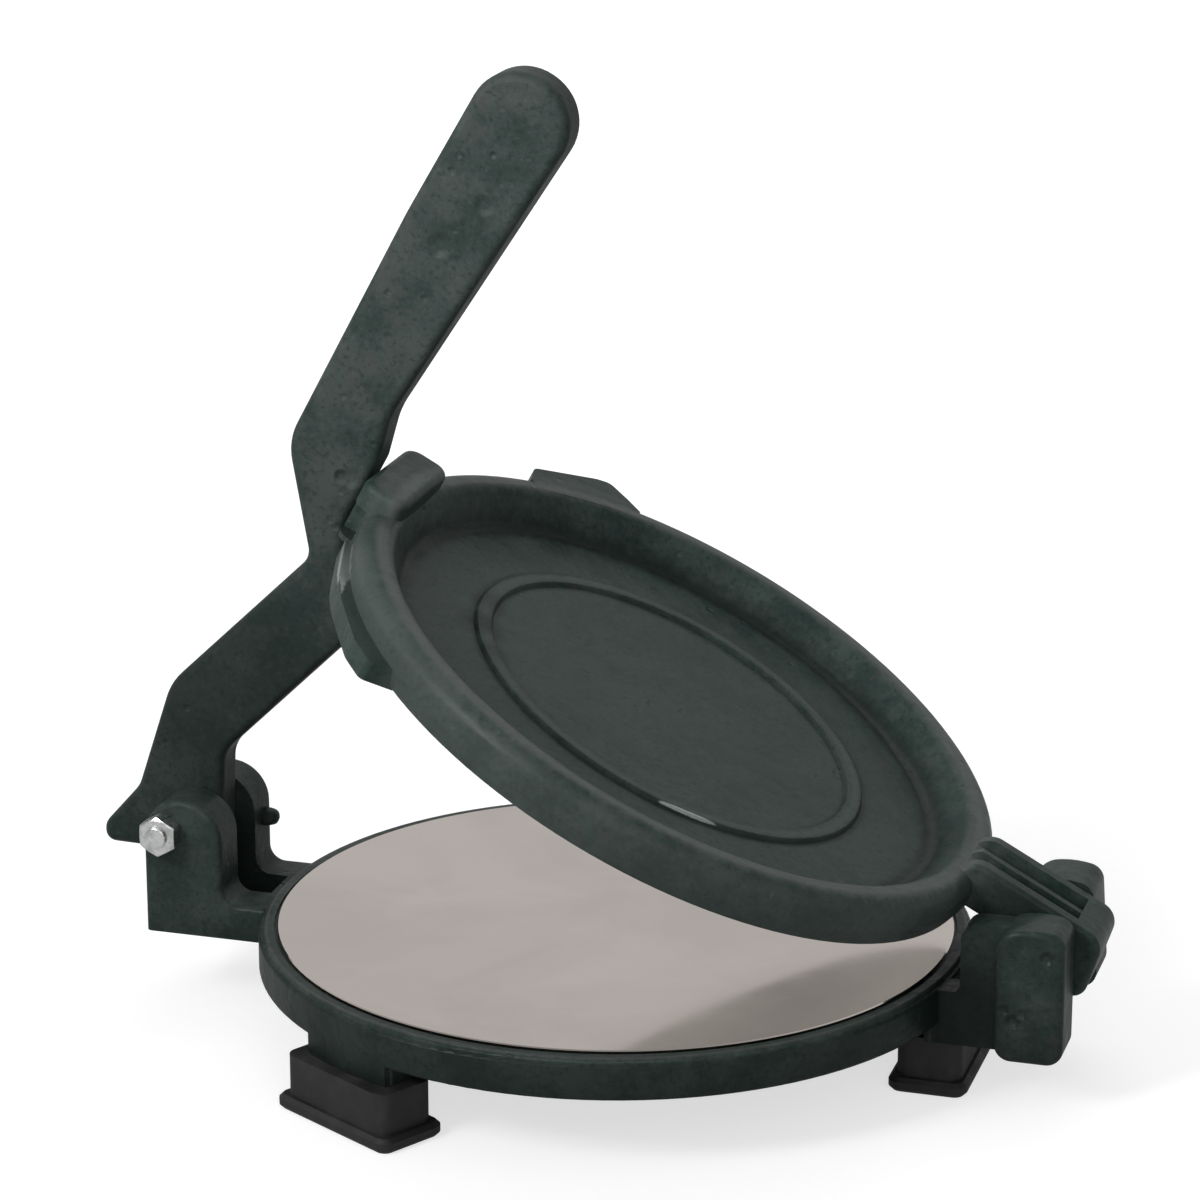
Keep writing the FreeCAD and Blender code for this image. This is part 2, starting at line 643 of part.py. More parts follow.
def disc(name, height, **place):
    """One of the two steel pressing plates, a flat disc with an eased edge."""
    plate = body(name, **place)
    plan = sketch(plate, f"{name}_plan", "XY_Plane", height)
    circle(plan, size.plate_radius)
    feature(plate, "Pad", f"{name}_disc", plan, size.plate_thick)
    rounding(plate, f"{name}_edge", size.small_bevel / 2, lambda middle, bounds:
             near(middle.z, height + size.plate_thick), "Chamfer")


# Each foot is a rubber block with a flange and a well for its screw
def foot(name, angle):
    rubber = body(name, angle=angle, axis=(0, 0, 1))
    plan = sketch(rubber, f"{name}_flange_plan", "XY_Plane")
    outline(plan, box(size.foot_circle - size.flange_width / 2,
                      size.foot_circle + size.flange_width / 2,
                      -(size.flange_length / 2), size.flange_length / 2, size.foot_round))
    feature(rubber, "Pad", f"{name}_flange", plan, size.flange_height)
    for part, level in (("upper", size.flange_height), ("lower", measure(0))):
        rounding(rubber, f"{name}_{part}_slope", size.foot_edge, lambda middle, bounds:
                 near(bounds.ZMin, level) and near(bounds.ZMax, level), "Chamfer")
    plan = sketch(rubber, f"{name}_block_plan", "XY_Plane", size.flange_height)
    outline(plan, box(size.foot_circle - size.foot_width / 2,
                      size.foot_circle + size.foot_width / 2,
                      -(size.foot_length / 2), size.foot_length / 2, size.foot_round))
    feature(rubber, "Pad", f"{name}_block", plan, size.foot_top - size.flange_height)
    plan = sketch(rubber, f"{name}_well_plan", "XY_Plane")
    circle(plan, size.foot_well, size.screw_circle)
    feature(rubber, "Pocket", f"{name}_well", plan, size.screw_seat, backwards=True)
    plan = sketch(rubber, f"{name}_hole_plan", "XY_Plane")
    circle(plan, size.screw_radius + size.screw_clearance, size.screw_circle)
    feature(rubber, "Pocket", f"{name}_hole", plan, size.foot_top * 2, backwards=True)


def turned_three_times(name, corners):
    """Three like turned pieces, one on the screw circle over each foot."""
    group = body(name)
    profile = sketch(group, f"{name}_profile", "XZ_Plane")
    bind(profile, "AttachmentOffset.Base.x", size.screw_circle)
    outline(profile, corners)
    piece = turned(group, "Revolution", f"{name}_turned", profile)
    return group, piece


def foot_screws():
    """Three socket screws that hold the feet from below."""
    head_under = size.screw_seat - size.washer_thick - size.screw_head
    head_over = head_under + size.screw_head
    group, piece = turned_three_times("foot_screws", [
        (0, head_under),
        (size.screw_head_radius, head_under, size.small_bevel),
        (size.screw_head_radius, head_over),
        (size.screw_radius, head_over),
        (size.screw_radius, size.foot_top + size.screw_depth - size.small_bevel),
        (size.screw_radius - size.small_bevel, size.foot_top + size.screw_depth),
        (0, size.foot_top + size.screw_depth)])
    plan = sketch(group, "screw_socket_plan", "XY_Plane", head_under)
    outline(plan, hexagon(size.screw_socket, size.screw_circle))
    socket = feature(group, "Pocket", "screw_socket", plan, size.screw_head * 0.6, backwards=True)
    around(group, "foot_screw_group", [piece, socket], 3)


def foot_washers():
    """Three flat washers between the screw heads and the rubber."""
    under = size.screw_seat - size.washer_thick
    group, piece = turned_three_times("foot_washers", [
        (size.screw_radius + size.screw_clearance, under),
        (size.washer_radius, under),
        (size.washer_radius, size.screw_seat),
        (size.screw_radius + size.screw_clearance, size.screw_seat)])
    around(group, "foot_washer_group", [piece], 3)


def hexagon(half, x=0, y=0):
    """The corners of a hexagon, one of them pointing along the second direction."""
    reach = half / measure(math.cos(math.pi / 6))
    corners = []
    for step in range(6):
        across, along = polar(reach, 30 + 60 * step)
        corners.append((across + x, along + y))
    return corners


# The lever: one flat casting, bent at the elbow where the lid leans on it
def lever():
    made = body("lever", -size.bolt_reach, size.bolt_height)
    profile = sketch(made, "lever_profile", "XZ_Plane")
    corners = [[getattr(size, f"{name}_{word}") for word in ("across", "up", "round")]
               for name, across, up, radius in LEVER_CORNERS]
    outline(profile, corners + [
        (-size.toe_reach, -size.toe_top, size.toe_round),
        (-size.toe_reach, -size.toe_bottom, size.toe_corner)])
    feature(made, "Pad", "lever_flat", profile, size.lever_half * 2, midplane=True)
    rounding(made, "lever_rounding", size.lever_edge, lambda middle, bounds:
             on_side(bounds, size.lever_half))
    profile = sketch(made, "lever_bore_profile", "XZ_Plane")
    circle(profile, size.bolt_radius + size.bolt_clearance)
    feature(made, "Pocket", "lever_bore", profile, size.lever_half * 3, midplane=True)


def hex_bevel(owner, name, end, out):
    """The cone that eases the six corners of a nut or head at its outer end."""
    cut = sketch(owner, f"{name}_bevel_profile", "XY_Plane")
    inner = size.hex_half * 0.96
    outer = size.hex_half * 1.3
    outline(cut, [(inner, end), (outer, end), (outer, end - (outer - inner) * 0.5 * out)])
    turned(owner, "Groove", f"{name}_bevel", cut)


def lever_bolt():
    """The bolt the lever turns on; its head is on the far side."""
    bolt = body("lever_bolt", -size.bolt_reach, size.bolt_height)
    profile = sketch(bolt, "bolt_head_profile", "XZ_Plane", -(size.bracket_half + size.head_thick))
    outline(profile, hexagon(size.hex_half))
    feature(bolt, "Pad", "bolt_head", profile, size.head_thick)
    hex_bevel(bolt, "bolt_head", size.bracket_half + size.head_thick, 1)
    profile = sketch(bolt, "bolt_shank_profile", "XZ_Plane", -size.bracket_half)
    circle(profile, size.bolt_radius)
    reach = size.bracket_half * 2 + size.nut_thick + size.bolt_end
    feature(bolt, "Pad", "bolt_shank", profile, reach)
    rounding(bolt, "bolt_end_bevel", size.small_bevel, lambda middle, bounds:
             near(bounds.YMin, size.bracket_half - reach)
             and near(bounds.YMax, size.bracket_half - reach), "Chamfer")


def lever_nut():
    """The nut of the lever bolt, on the near side."""
    nut = body("lever_nut", -size.bolt_reach, size.bolt_height)
    profile = sketch(nut, "nut_profile", "XZ_Plane", size.bracket_half)
    outline(profile, hexagon(size.hex_half))
    feature(nut, "Pad", "nut_block", profile, size.nut_thick)
    hex_bevel(nut, "nut", -(size.bracket_half + size.nut_thick), -1)
    profile = sketch(nut, "nut_bore_profile", "XZ_Plane", size.bracket_half)
    circle(profile, size.bolt_radius + size.thread_clearance)
    feature(nut, "Pocket", "nut_bore", profile, size.nut_thick, backwards=True)


def hinge_pin():
    """The pin the lid turns on, flush in the far ear and blind in the near one."""
    pin = body("hinge_pin", size.hinge_reach, size.hinge_height)
    start = size.pin_inset - size.hinge_far_half
    reach = size.hinge_far_half + size.hinge_half - size.pin_cover - size.pin_inset * 2
    profile = sketch(pin, "pin_profile", "XZ_Plane", start)
    circle(profile, size.pin_radius)
    feature(pin, "Pad", "pin_rod", profile, reach)
    rounding(pin, "pin_bevels", size.small_bevel, lambda middle, bounds:
             near(bounds.YMax, bounds_flat(bounds)), "Chamfer")


def bounds_flat(bounds):
    """The level of an edge that lies flat across the press, or one far away."""
    return measure(bounds.YMin if bounds.YLength < SAME_PLACE else FAR_AWAY)


# The lid: one casting with a rim, a press bar in front and a neck to the hinge
def lid_round(lid):
    """The dished disc with its rim and the raised ring."""
    rim_inside = size.lid_radius - size.rim_width
    ring_outside = size.ring_radius + size.ring_width / 2
    ring_inside = size.ring_radius - size.ring_width / 2
    ring_top = size.floor_top + size.ring_height
    slant = size.ring_height * 0.4
    profile = sketch(lid, "lid_profile", "XZ_Plane")
    outline(profile, [
        (0, size.lid_bottom),
        (size.plate_seat, size.lid_bottom),
        (size.plate_seat, size.lid_face + size.lid_lip_rise),
        (size.plate_seat + size.lid_lip, size.lid_face + size.lid_lip_rise),
        (size.lid_radius, size.lid_bottom + size.lid_flare, size.mould_round),
        (size.lid_radius, size.rim_top, size.rim_round),
        (rim_inside, size.rim_top, size.rim_inner_round),
        (rim_inside - size.rim_slope, size.floor_top, size.mould_round * 2),
        (ring_outside + slant, size.floor_top),
        (ring_outside - slant, ring_top, size.ring_height * 0.4),
        (ring_inside + slant, ring_top, size.ring_height * 0.4),
        (ring_inside - slant, size.floor_top),
        (0, size.floor_top)])
    turned(lid, "Revolution", "lid_disc", profile)


def press_bar(lid):
    """The bar across the front of the rim, on which the lever presses."""
    plan = sketch(lid, "bar_plan", "XY_Plane", size.lid_bottom)
    bar_top = size.rim_top + size.bar_rise
    outline(plan, box(-size.bar_reach, size.bar_width - size.bar_reach,
                      -size.bar_near, size.bar_far, size.bar_corner))
    feature(lid, "Pad", "press_bar", plan, bar_top - size.lid_bottom)
    rounding(lid, "press_bar_rounding", size.bar_round, lambda middle, bounds:
             near(bounds.ZMin, bar_top))


def bar_hollows(lid):
    """The hollow under each end of the press bar, in front of the rim."""
    bar_top = size.rim_top + size.bar_rise
    for side, face in (("near", size.bar_near), ("far", -size.bar_far)):
        profile = sketch(lid, f"{side}_hollow_profile", "XZ_Plane", face)
        hollow_under = size.lid_bottom + size.mould_round * 0.8
        outline(profile, box(-(size.bar_reach + size.overlap), size.rim_bite - size.lid_radius,
                             hollow_under, bar_top - size.bar_lip))
        feature(lid, "Pocket", f"{side}_hollow", profile, size.bar_hollow, backwards=side == "far")


def lid_ledges(lid):
    """The low ledge on both sides of the press bar and the finger lug on the far rim."""
    for side, sign in (("near", 1), ("far", -1)):
        plan = sketch(lid, f"{side}_ledge_plan", "XY_Plane", size.lid_bottom - size.ledge_drop)
        outline(plan, rim_corners("ledge", lambda angle: angle * sign + 180))
        feature(lid, "Pad", f"{side}_ledge", plan, size.ledge_drop + size.ledge_height)
    plan = sketch(lid, "plate_room_plan", "XY_Plane", size.lid_bottom - size.ledge_drop)
    circle(plan, size.plate_seat)
    feature(lid, "Pocket", "plate_room", plan, size.ledge_drop, backwards=True)
    plan = sketch(lid, "lug_plan", "XY_Plane", size.rim_top - size.lug_height)
    outline(plan, rim_corners("lug", lambda angle: angle))
    feature(lid, "Pad", "finger_lug", plan, size.lug_height)


def neck(lid):
    """The neck from the rim to the hinge: two ridges, a ribbed channel and a closed tail."""
    profile = sketch(lid, "neck_profile", "XZ_Plane")
    tail_end = size.hinge_reach + size.tail_reach
    outline(profile, [
        (size.neck_start, size.lid_bottom + size.neck_under),
        (size.hinge_reach - size.neck_bend, size.lid_bottom + size.neck_under, size.tail_round),
        (size.hinge_reach - size.tail_depth, -size.tail_depth, size.tail_round),
        (size.hinge_reach + size.tail_seat, -size.tail_depth, size.tail_round),
        (size.hinge_reach + size.tail_foot, -size.tail_step, size.tail_corner),
        (tail_end, size.ridge_top, size.tail_round),
        (size.neck_start + size.ridge_rise, size.ridge_top, size.tail_round),
        (size.neck_start, size.rim_top - size.mould_round)])
    feature(lid, "Pad", "neck_block", profile, size.neck_half * 2, midplane=True)
    rounding(lid, "neck_rounding", size.mould_round * 0.8, lambda middle, bounds:
             on_side(bounds, size.neck_half) and middle.x > size.lid_radius.number)
    half = size.neck_half - size.ridge_width
    groove = half - size.channel_rib / 2
    for name, face, width, depth in (
            ("channel", half, half * 2, size.channel_rib_drop),
            ("near_groove", half, groove, size.channel_depth),
            ("far_groove", -(size.channel_rib / 2), groove, size.channel_depth)):
        profile = sketch(lid, f"{name}_profile", "XZ_Plane", face)
        outline(profile, [
            (size.neck_start - size.overlap, size.ridge_top - depth),
            (size.hinge_reach + size.channel_past, size.ridge_top - depth),
            (size.hinge_reach + size.channel_past, size.ridge_top + size.overlap),
            (size.neck_start - size.overlap, size.ridge_top + size.overlap)])
        feature(lid, "Pocket", f"neck_{name}", profile, width)
    profile = sketch(lid, "lid_bore_profile", "XZ_Plane")
    circle(profile, size.pin_radius + size.pin_clearance, size.hinge_reach)
    feature(lid, "Pocket", "lid_bore", profile, size.neck_half * 3, midplane=True)


def lid_casting(place):
    lid = body("lid_casting", **place)
    neck(lid)
    press_bar(lid)
    lid_round(lid)
    bar_hollows(lid)
    lid_ledges(lid)


base_casting()
disc("base_plate", size.floor_height)
for step, name in enumerate(("foot_hinge", "foot_far", "foot_near")):
    foot(name, step * 120)
foot_washers()
foot_screws()
lever()
lever_bolt()
lever_nut()
hinge_pin()
# The lid is drawn closed about the middle of its disc, level with the pin, and then opened
half_open = {
    "x": size.hinge_reach * (measure(1) - cosine(size.open_angle)),
    "z": size.hinge_height + size.hinge_reach * sine(size.open_angle),
    "angle": size.open_angle,
}
lid_casting(half_open)
disc("lid_plate", size.lid_face, **half_open)
doc.recompute()

# Every sub-part is checked and written to its own file
os.makedirs("parts", exist_ok=True)
for made in doc.Objects:
    state = [word for word in made.State if word in ("Invalid", "Error")]
    if state:
        raise RuntimeError(f"{made.Name}: {state}")
for made in doc.Objects:
    if made.TypeId != "PartDesign::Body":
        continue
    if made.Shape.isNull() or not made.Shape.isValid():
        raise RuntimeError(f"{made.Label}: no sound shape")
    made.Shape.exportStep(os.path.join("parts", f"{made.Label}.step"))
    print(made.Label, len(made.Shape.Solids), round(made.Shape.Volume))
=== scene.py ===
# %% [markdown]
# # A cast-iron tortilla press
# The press stands half open: its lid leans on the upright lever. The shapes of the castings
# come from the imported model, which is loaded as a fixed frame. This lesson gives them the
# finishes of the real thing (thick dark paint on sand-cast iron, polished steel, zinc, rubber)
# and adds the small surfaces that a foundry and a thread cutter leave behind.

# %% Load the frame
import json
import math

import bmesh
import bpy
import numpy as np
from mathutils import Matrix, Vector


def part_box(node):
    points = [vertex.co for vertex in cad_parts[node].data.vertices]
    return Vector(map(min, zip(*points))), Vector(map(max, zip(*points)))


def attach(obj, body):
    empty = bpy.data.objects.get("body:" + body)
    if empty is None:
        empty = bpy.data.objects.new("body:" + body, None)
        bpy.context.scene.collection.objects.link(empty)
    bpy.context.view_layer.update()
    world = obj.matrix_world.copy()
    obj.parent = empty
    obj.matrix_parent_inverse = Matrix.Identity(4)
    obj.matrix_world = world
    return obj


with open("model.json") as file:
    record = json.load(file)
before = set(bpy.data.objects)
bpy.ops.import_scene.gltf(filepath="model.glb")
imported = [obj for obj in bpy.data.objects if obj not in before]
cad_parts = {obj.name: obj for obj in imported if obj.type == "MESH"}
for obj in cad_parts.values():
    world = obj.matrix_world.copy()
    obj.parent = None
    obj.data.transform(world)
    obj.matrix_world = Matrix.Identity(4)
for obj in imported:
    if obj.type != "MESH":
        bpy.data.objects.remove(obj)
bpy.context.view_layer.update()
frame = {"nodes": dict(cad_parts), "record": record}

nodes = frame["nodes"]
print("pieces in the frame:", len(nodes))

# %% [markdown]
# ## Where things are
# The bands on the discs, the plates' patterns and the thread on the bolt are placed from the
# frame itself, so they stay in step when the model changes; the other marks and the gate stub are
# written in metres. The plates give the middles of the two discs, and the range of the lid's
# hinge gives its tilt.

# %% Places measured from the frame
MM = 0.001


def middle(node):
    """The middle of a node's box."""
    low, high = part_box(node)
    return (np.array(low) + np.array(high)) / 2


base_middle = middle("base_plate")
lid_middle = middle("lid_plate")
nut_middle = middle("lever_nut")
joints = {joint["name"]: joint for joint in frame["record"]["behaviour"]["joints"]}
lid_tilt = math.radians(-min(joints["lid_hinge"]["range_deg"]))
print("middle of the base:", base_middle.round(4))
print("tilt of the lid in degrees:", round(math.degrees(lid_tilt), 2))

# %% [markdown]
# ## Shader groups
# Several finishes share an effect: the grainy skin of sand casting, soft dents, fine scratches.
# Each effect is built once as a group with named inputs, and every material places it with its
# own values. A group gives only heights and masks; the shader itself stays in the material,
# where an exporter can read it. The class below keeps the building of a node tree short: each
# call adds one node, feeds it numbers or the outputs of other nodes, and gives back its output.

# %% A small language for node trees
GIVES_A_NUMBER = ("DISTANCE", "DOT_PRODUCT", "LENGTH")


class Tree:
    """Short calls for building a node tree."""

    def __init__(self, tree):
        self.tree = tree

    def node(self, kind, **settings):
        """Add a node and set its settings."""
        made = self.tree.nodes.new(kind)
        for name, value in settings.items():
            setattr(made, name, value)
        return made

    def feed(self, socket, value):
        """Link an output to a socket, or write a plain value into it."""
        if isinstance(value, bpy.types.NodeSocket):
            self.tree.links.new(value, socket)
        else:
            socket.default_value = value

    def math(self, operation, first, second=0.0):
        """One operation on one or two numbers."""
        made = self.node("ShaderNodeMath", operation=operation)
        self.feed(made.inputs[0], first)
        self.feed(made.inputs[1], second)
        return made.outputs[0]

    def vector(self, operation, first, second=None):
        """One operation on one or two vectors, which gives a vector or a number."""
        made = self.node("ShaderNodeVectorMath", operation=operation)
        self.feed(made.inputs[0], first)
        if second is not None:
            self.feed(made.inputs[1], second)
        return made.outputs["Value" if operation in GIVES_A_NUMBER else "Vector"]

    def chain(self, operation, values):
        """The same operation from the first number through to the last."""
        found = values[0]
        for value in values[1:]:
            found = self.math(operation, found, value)
        return found

    def total(self, *values):
        """The sum of several numbers."""
        return self.chain("ADD", values)

    def product(self, *values):
        """The product of several numbers."""
        return self.chain("MULTIPLY", values)

    def ramp(self, value, low, high, to_low=0.0, to_high=1.0):
        """Carry a value from one range to another, eased at both ends."""
        made = self.node("ShaderNodeMapRange", interpolation_type="SMOOTHSTEP")
        for socket, given in zip(made.inputs, (value, low, high, to_low, to_high)):
            self.feed(socket, given)
        return made.outputs[0]

    def noise(self, where, scale, detail=2.0, rough=0.5, distortion=0.0):
        """Soft noise from 0 to 1, with so many lumps to a metre as the scale says."""
        made = self.node("ShaderNodeTexNoise")
        for name, given in (("Vector", where), ("Scale", scale), ("Detail", detail),
                            ("Roughness", rough), ("Distortion", distortion)):
            self.feed(made.inputs[name], given)
        return made.outputs["Fac"]

    def cells(self, where, scale):
        """Scattered cells: the distance from each one's middle, and a colour of its own."""
        made = self.node("ShaderNodeTexVoronoi", feature="F1")
        self.feed(made.inputs["Vector"], where)
        self.feed(made.inputs["Scale"], scale)
        return made.outputs

    def mix(self, share, first, second):
        """A colour part of the way from the first to the second."""
        made = self.node("ShaderNodeMix", data_type="RGBA")
        for name, given in (("Factor", share), ("A", first), ("B", second)):
            self.feed(made.inputs[name], given)
        return made.outputs["Result"]

    def between(self, share, first, second):
        """A number part of the way from the first to the second."""
        made = self.node("ShaderNodeMix", data_type="FLOAT")
        for place, given in ((0, share), (2, first), (3, second)):
            self.feed(made.inputs[place], given)
        return made.outputs[0]

    def call(self, group, **values):
        """Place a group and set its inputs, with underscores for spaces."""
        made = self.node("ShaderNodeGroup")
        made.node_tree = group
        for name, value in values.items():
            self.feed(made.inputs[name.replace("_", " ")], value)
        return made.outputs


def new_group(name, inputs, outputs):
    """An empty group with named inputs and outputs, each one a name and its kind."""
    tree = bpy.data.node_groups.new(name, "ShaderNodeTree")
    for way, sockets in (("INPUT", inputs), ("OUTPUT", outputs)):
        for label, kind in sockets.items():
            tree.interface.new_socket(label, in_out=way, socket_type=f"NodeSocket{kind}")
    print("group:", name, "with inputs", ", ".join(inputs))
    made = Tree(tree)
    return made, made.node("NodeGroupInput").outputs, made.node("NodeGroupOutput").inputs


# %% [markdown]
# Sand-cast iron is never flat: the mould gives it a slow waviness, a fine grain and the odd pit
# where sand fell in. A painted picture of this would have to be wrapped round every casting, but
# noise in space needs no wrapping. The group adds the three as one height in metres, so a bump
# node with a distance of one metre shows their true depth.

# %% The skin of a sand casting
# How many of each lie along a metre
GRAINS, WAVES, PITS = 560.0, 95.0, 170.0
PIT_PATCHES, MOTTLES, SPECKS, RUST_PATCHES = 55.0, 52.0, 330.0, 42.0


def sand_cast_skin():
    """Height = grain + waves - pits, each one a noise about its middle times its depth. Mottle
    and grain are noises, and rust is a fine noise where a slow one is high."""
    group, given, out = new_group(
        "sand_cast_skin",
        {"Where": "Vector", "Grain Depth": "Float", "Wave Depth": "Float", "Pit Depth": "Float"},
        {"Height": "Float", "Mottle": "Float", "Grain": "Float", "Rust": "Float"})
    where = given["Where"]
    grain = group.noise(where, GRAINS, detail=3.0, rough=0.70)
    wave = group.noise(where, WAVES, distortion=0.3)
    pit = group.ramp(group.cells(where, PITS)["Distance"], 0.06, 0.26, 1.0, 0.0)
    few = group.ramp(group.noise(where, PIT_PATCHES, detail=1.0), 0.56, 0.66)
    speck = group.ramp(group.noise(where, SPECKS, rough=0.6), 0.50, 0.66)
    worn = group.ramp(group.noise(where, RUST_PATCHES, 3.0, 0.6, 0.4), 0.50, 0.64)
    group.feed(out["Height"], group.total(
        group.product(group.math("SUBTRACT", grain, 0.5), given["Grain Depth"]),
        group.product(group.math("SUBTRACT", wave, 0.5), given["Wave Depth"]),
        group.product(pit, few, group.product(given["Pit Depth"], -1.0))))
    group.feed(out["Mottle"], group.noise(where, MOTTLES, detail=5.0, rough=0.68))
    group.feed(out["Grain"], grain)
    group.feed(out["Rust"], group.product(speck, worn))
    return group.tree


skin_group = sand_cast_skin()

# %% [markdown]
# A dent is a smooth bowl round one point, and a spot of painted shade has the same soft round
# shape,
# so one group serves both: its height is a depth for a dent, and a strength for a spot of painted
# shade.

# %% A dent
FLAT_SHARE = 0.25


def round_dent():
    """Height = -depth x bowl, and the bowl falls from one at a quarter of the radius to nothing
    at the radius."""
    group, given, out = new_group(
        "round_dent",
        {"Where": "Vector", "Centre": "Vector", "Radius": "Float", "Depth": "Float"},
        {"Height": "Float"})
    apart = group.vector("DISTANCE", given["Where"], given["Centre"])
    share = group.math("DIVIDE", apart, given["Radius"])
    bowl = group.ramp(share, FLAT_SHARE, 1.0, 1.0, 0.0)
    group.feed(out["Height"], group.product(bowl, group.product(given["Depth"], -1.0)))
    return group.tree


dent_group = round_dent()

# %% [markdown]
# A painted highlight is drawn as a streak of shiny bare-looking iron. The streak is
# the distance from a short line, thinned towards both ends and broken up by noise.

# %% A painted highlight streak
STREAK_LUMPS, STREAK_RAGGED = 300.0, 0.7


def highlight_streak():
    """Mask = one where (distance from the line / half width) + (distance along it / half
    length) squared + noise is below one, and nothing a little past it."""
    group, given, out = new_group(
        "highlight_streak",
        {"Where": "Vector", "Centre": "Vector", "Along": "Vector", "Half Length": "Float",
         "Half Width": "Float"},
        {"Mask": "Float"})
    offset = group.vector("SUBTRACT", given["Where"], given["Centre"])
    run = group.vector("DOT_PRODUCT", offset, given["Along"])
    span = group.vector("LENGTH", offset)
    square = group.math("SUBTRACT", group.product(span, span), group.product(run, run))
    aside = group.math("SQRT", group.math("MAXIMUM", square, 0.0))
    widths = group.math("DIVIDE", aside, given["Half Width"])
    lengths = group.math("ABSOLUTE", group.math("DIVIDE", run, given["Half Length"]))
    lumps = group.noise(given["Where"], STREAK_LUMPS, detail=3.0, rough=0.6)
    reach = group.total(widths, group.math("POWER", lengths, 2.0),
                        group.product(lumps, STREAK_RAGGED))
    group.feed(out["Mask"], group.ramp(reach, 0.95, 1.35, 1.0, 0.0))
    return group.tree


streak_group = highlight_streak()

# %% [markdown]
# On a round casting, light and shade follow circles, so crests are given a painted highlight and
# corners painted shade. A band is the distance from a circle in the disc's own plane, broken up
# by noise.

# %% A band round a disc
BAND_LUMPS, BAND_RAGGED = 260.0, 0.9


def ring_band():
    """Mask = one near the circle, falling as (distance from it / half width) + noise grows."""
    group, given, out = new_group(
        "ring_band", {"Plane": "Vector", "Radius": "Float", "Half Width": "Float"},
        {"Mask": "Float"})
    spoke = group.vector("LENGTH", group.vector("MULTIPLY", given["Plane"], (1.0, 1.0, 0.0)))
    gap = group.math("ABSOLUTE", group.math("SUBTRACT", spoke, given["Radius"]))
    widths = group.math("DIVIDE", gap, given["Half Width"])
    lumps = group.noise(given["Plane"], BAND_LUMPS, detail=4.0, rough=0.7)
    reach = group.total(widths, group.product(lumps, BAND_RAGGED))
    group.feed(out["Mask"], group.ramp(reach, 0.50, 1.35, 1.0, 0.0))
    return group.tree


band_group = ring_band()

# %% [markdown]
# Fine scratches are noise stretched a long way along one direction and cut off high, so only
# thin bright threads are left. Two layers that cross give the wiped look of used steel.

# %% Fine scratches
SCRATCHES_ALONG, SCRATCHES_ACROSS, SCRATCH_PATCHES = 14.0, 1500.0, 24.0


def fine_scratches():
    """Mask = amount x the peaks of a stretched noise x a slow noise that leaves patches free."""
    group, given, out = new_group(
        "fine_scratches", {"Where": "Vector", "Turn": "Float", "Amount": "Float"},
        {"Mask": "Float"})
    turned = group.node("ShaderNodeVectorRotate", rotation_type="Z_AXIS")
    group.feed(turned.inputs["Vector"], given["Where"])
    group.feed(turned.inputs["Angle"], given["Turn"])
    stretched = group.vector("MULTIPLY", turned.outputs[0],
                             (SCRATCHES_ALONG, SCRATCHES_ACROSS, SCRATCHES_ALONG))
    lines = group.ramp(group.noise(stretched, 1.0, rough=0.7), 0.62, 0.72)
    patches = group.ramp(group.noise(given["Where"], SCRATCH_PATCHES), 0.42, 0.68)
    group.feed(out["Mask"], group.product(lines, patches, given["Amount"]))
    return group.tree


scratch_group = fine_scratches()

# %% [markdown]
# ## Finishes
# Every finish starts in the same way: a material with its shader, and the point on the piece in
# the piece's own space, so that a pattern stays on the iron when the lid swings. The discs need
# one thing more: their patterns lie in the plane of the disc, and the lid's disc is tilted.

# %% Helpers for materials


def new_material(name):
    """A material, its tree, its shader and the point on the piece."""
    made = bpy.data.materials.new(name)
    made.use_nodes = True
    tree = Tree(made.node_tree)
    shader = made.node_tree.nodes["Principled BSDF"]
    where = tree.node("ShaderNodeTexCoord").outputs["Object"]
    print("material:", name)
    return made, tree, shader, where


def disc_plane(tree, where, centre, tilt):
    """The point turned about Y by -tilt, less the disc's middle turned in the same way."""
    cosine = math.cos(-tilt)
    sine = math.sin(-tilt)
    plane = tree.node("ShaderNodeMapping")
    tree.feed(plane.inputs["Vector"], where)
    plane.inputs["Rotation"].default_value = (0.0, -tilt, 0.0)
    plane.inputs["Location"].default_value = (
        -(cosine * centre[0] + sine * centre[2]),
        -centre[1],
        -(cosine * centre[2] - sine * centre[0]))
    return plane.outputs[0]


def bump(tree, shader, height):
    """Bend the light by a height in metres."""
    made = tree.node("ShaderNodeBump")
    made.inputs["Distance"].default_value = 1.0
    tree.feed(made.inputs["Height"], height)
    tree.feed(shader.inputs["Normal"], made.outputs["Normal"])


# %% [markdown]
# Over the enamel lie painted light and shade: a casting painted darker towards the bottom, bands
# of painted highlight and painted shade round the discs, soft spots of painted shade, and streaks
# of painted highlight drawn as shiny bare-looking iron. Each could be painted by hand, but a mask
# from the groups above needs only a place and a size, and its colour is mixed over the one below
# it.

# %% What lies on the enamel
# The colour of painted shade, mixed in where shade falls on the castings.
PAINTED_SHADE = (0.005, 0.008, 0.007, 1)
LOW_SHADE_FULL, LOW_SHADE_GONE, LOW_SHADE_RAGGED = 20 * MM, 36 * MM, 8 * MM
MOST_SPOT_SHADE = 0.9


def darkened_towards_bottom(tree, colour, where, mottle, strength):
    """Painted shade that is full below one height and fades out towards the next."""
    parts = tree.node("ShaderNodeSeparateXYZ")
    tree.feed(parts.inputs[0], where)
    level = tree.total(parts.outputs["Z"], tree.product(mottle, LOW_SHADE_RAGGED))
    return tree.mix(tree.ramp(level, LOW_SHADE_FULL, LOW_SHADE_GONE, strength, 0.0), colour, PAINTED_SHADE)


def banded(tree, colour, where, disc, bands):
    """Bands of (radius, half width, strength, colour) round a disc of (centre, tilt)."""
    plane = disc_plane(tree, where, *disc)
    for radius, half_width, strength, tint in bands:
        mask = tree.call(band_group, Plane=plane, Radius=radius, Half_Width=half_width)["Mask"]
        colour = tree.mix(tree.product(mask, strength), colour, tint)
    return colour


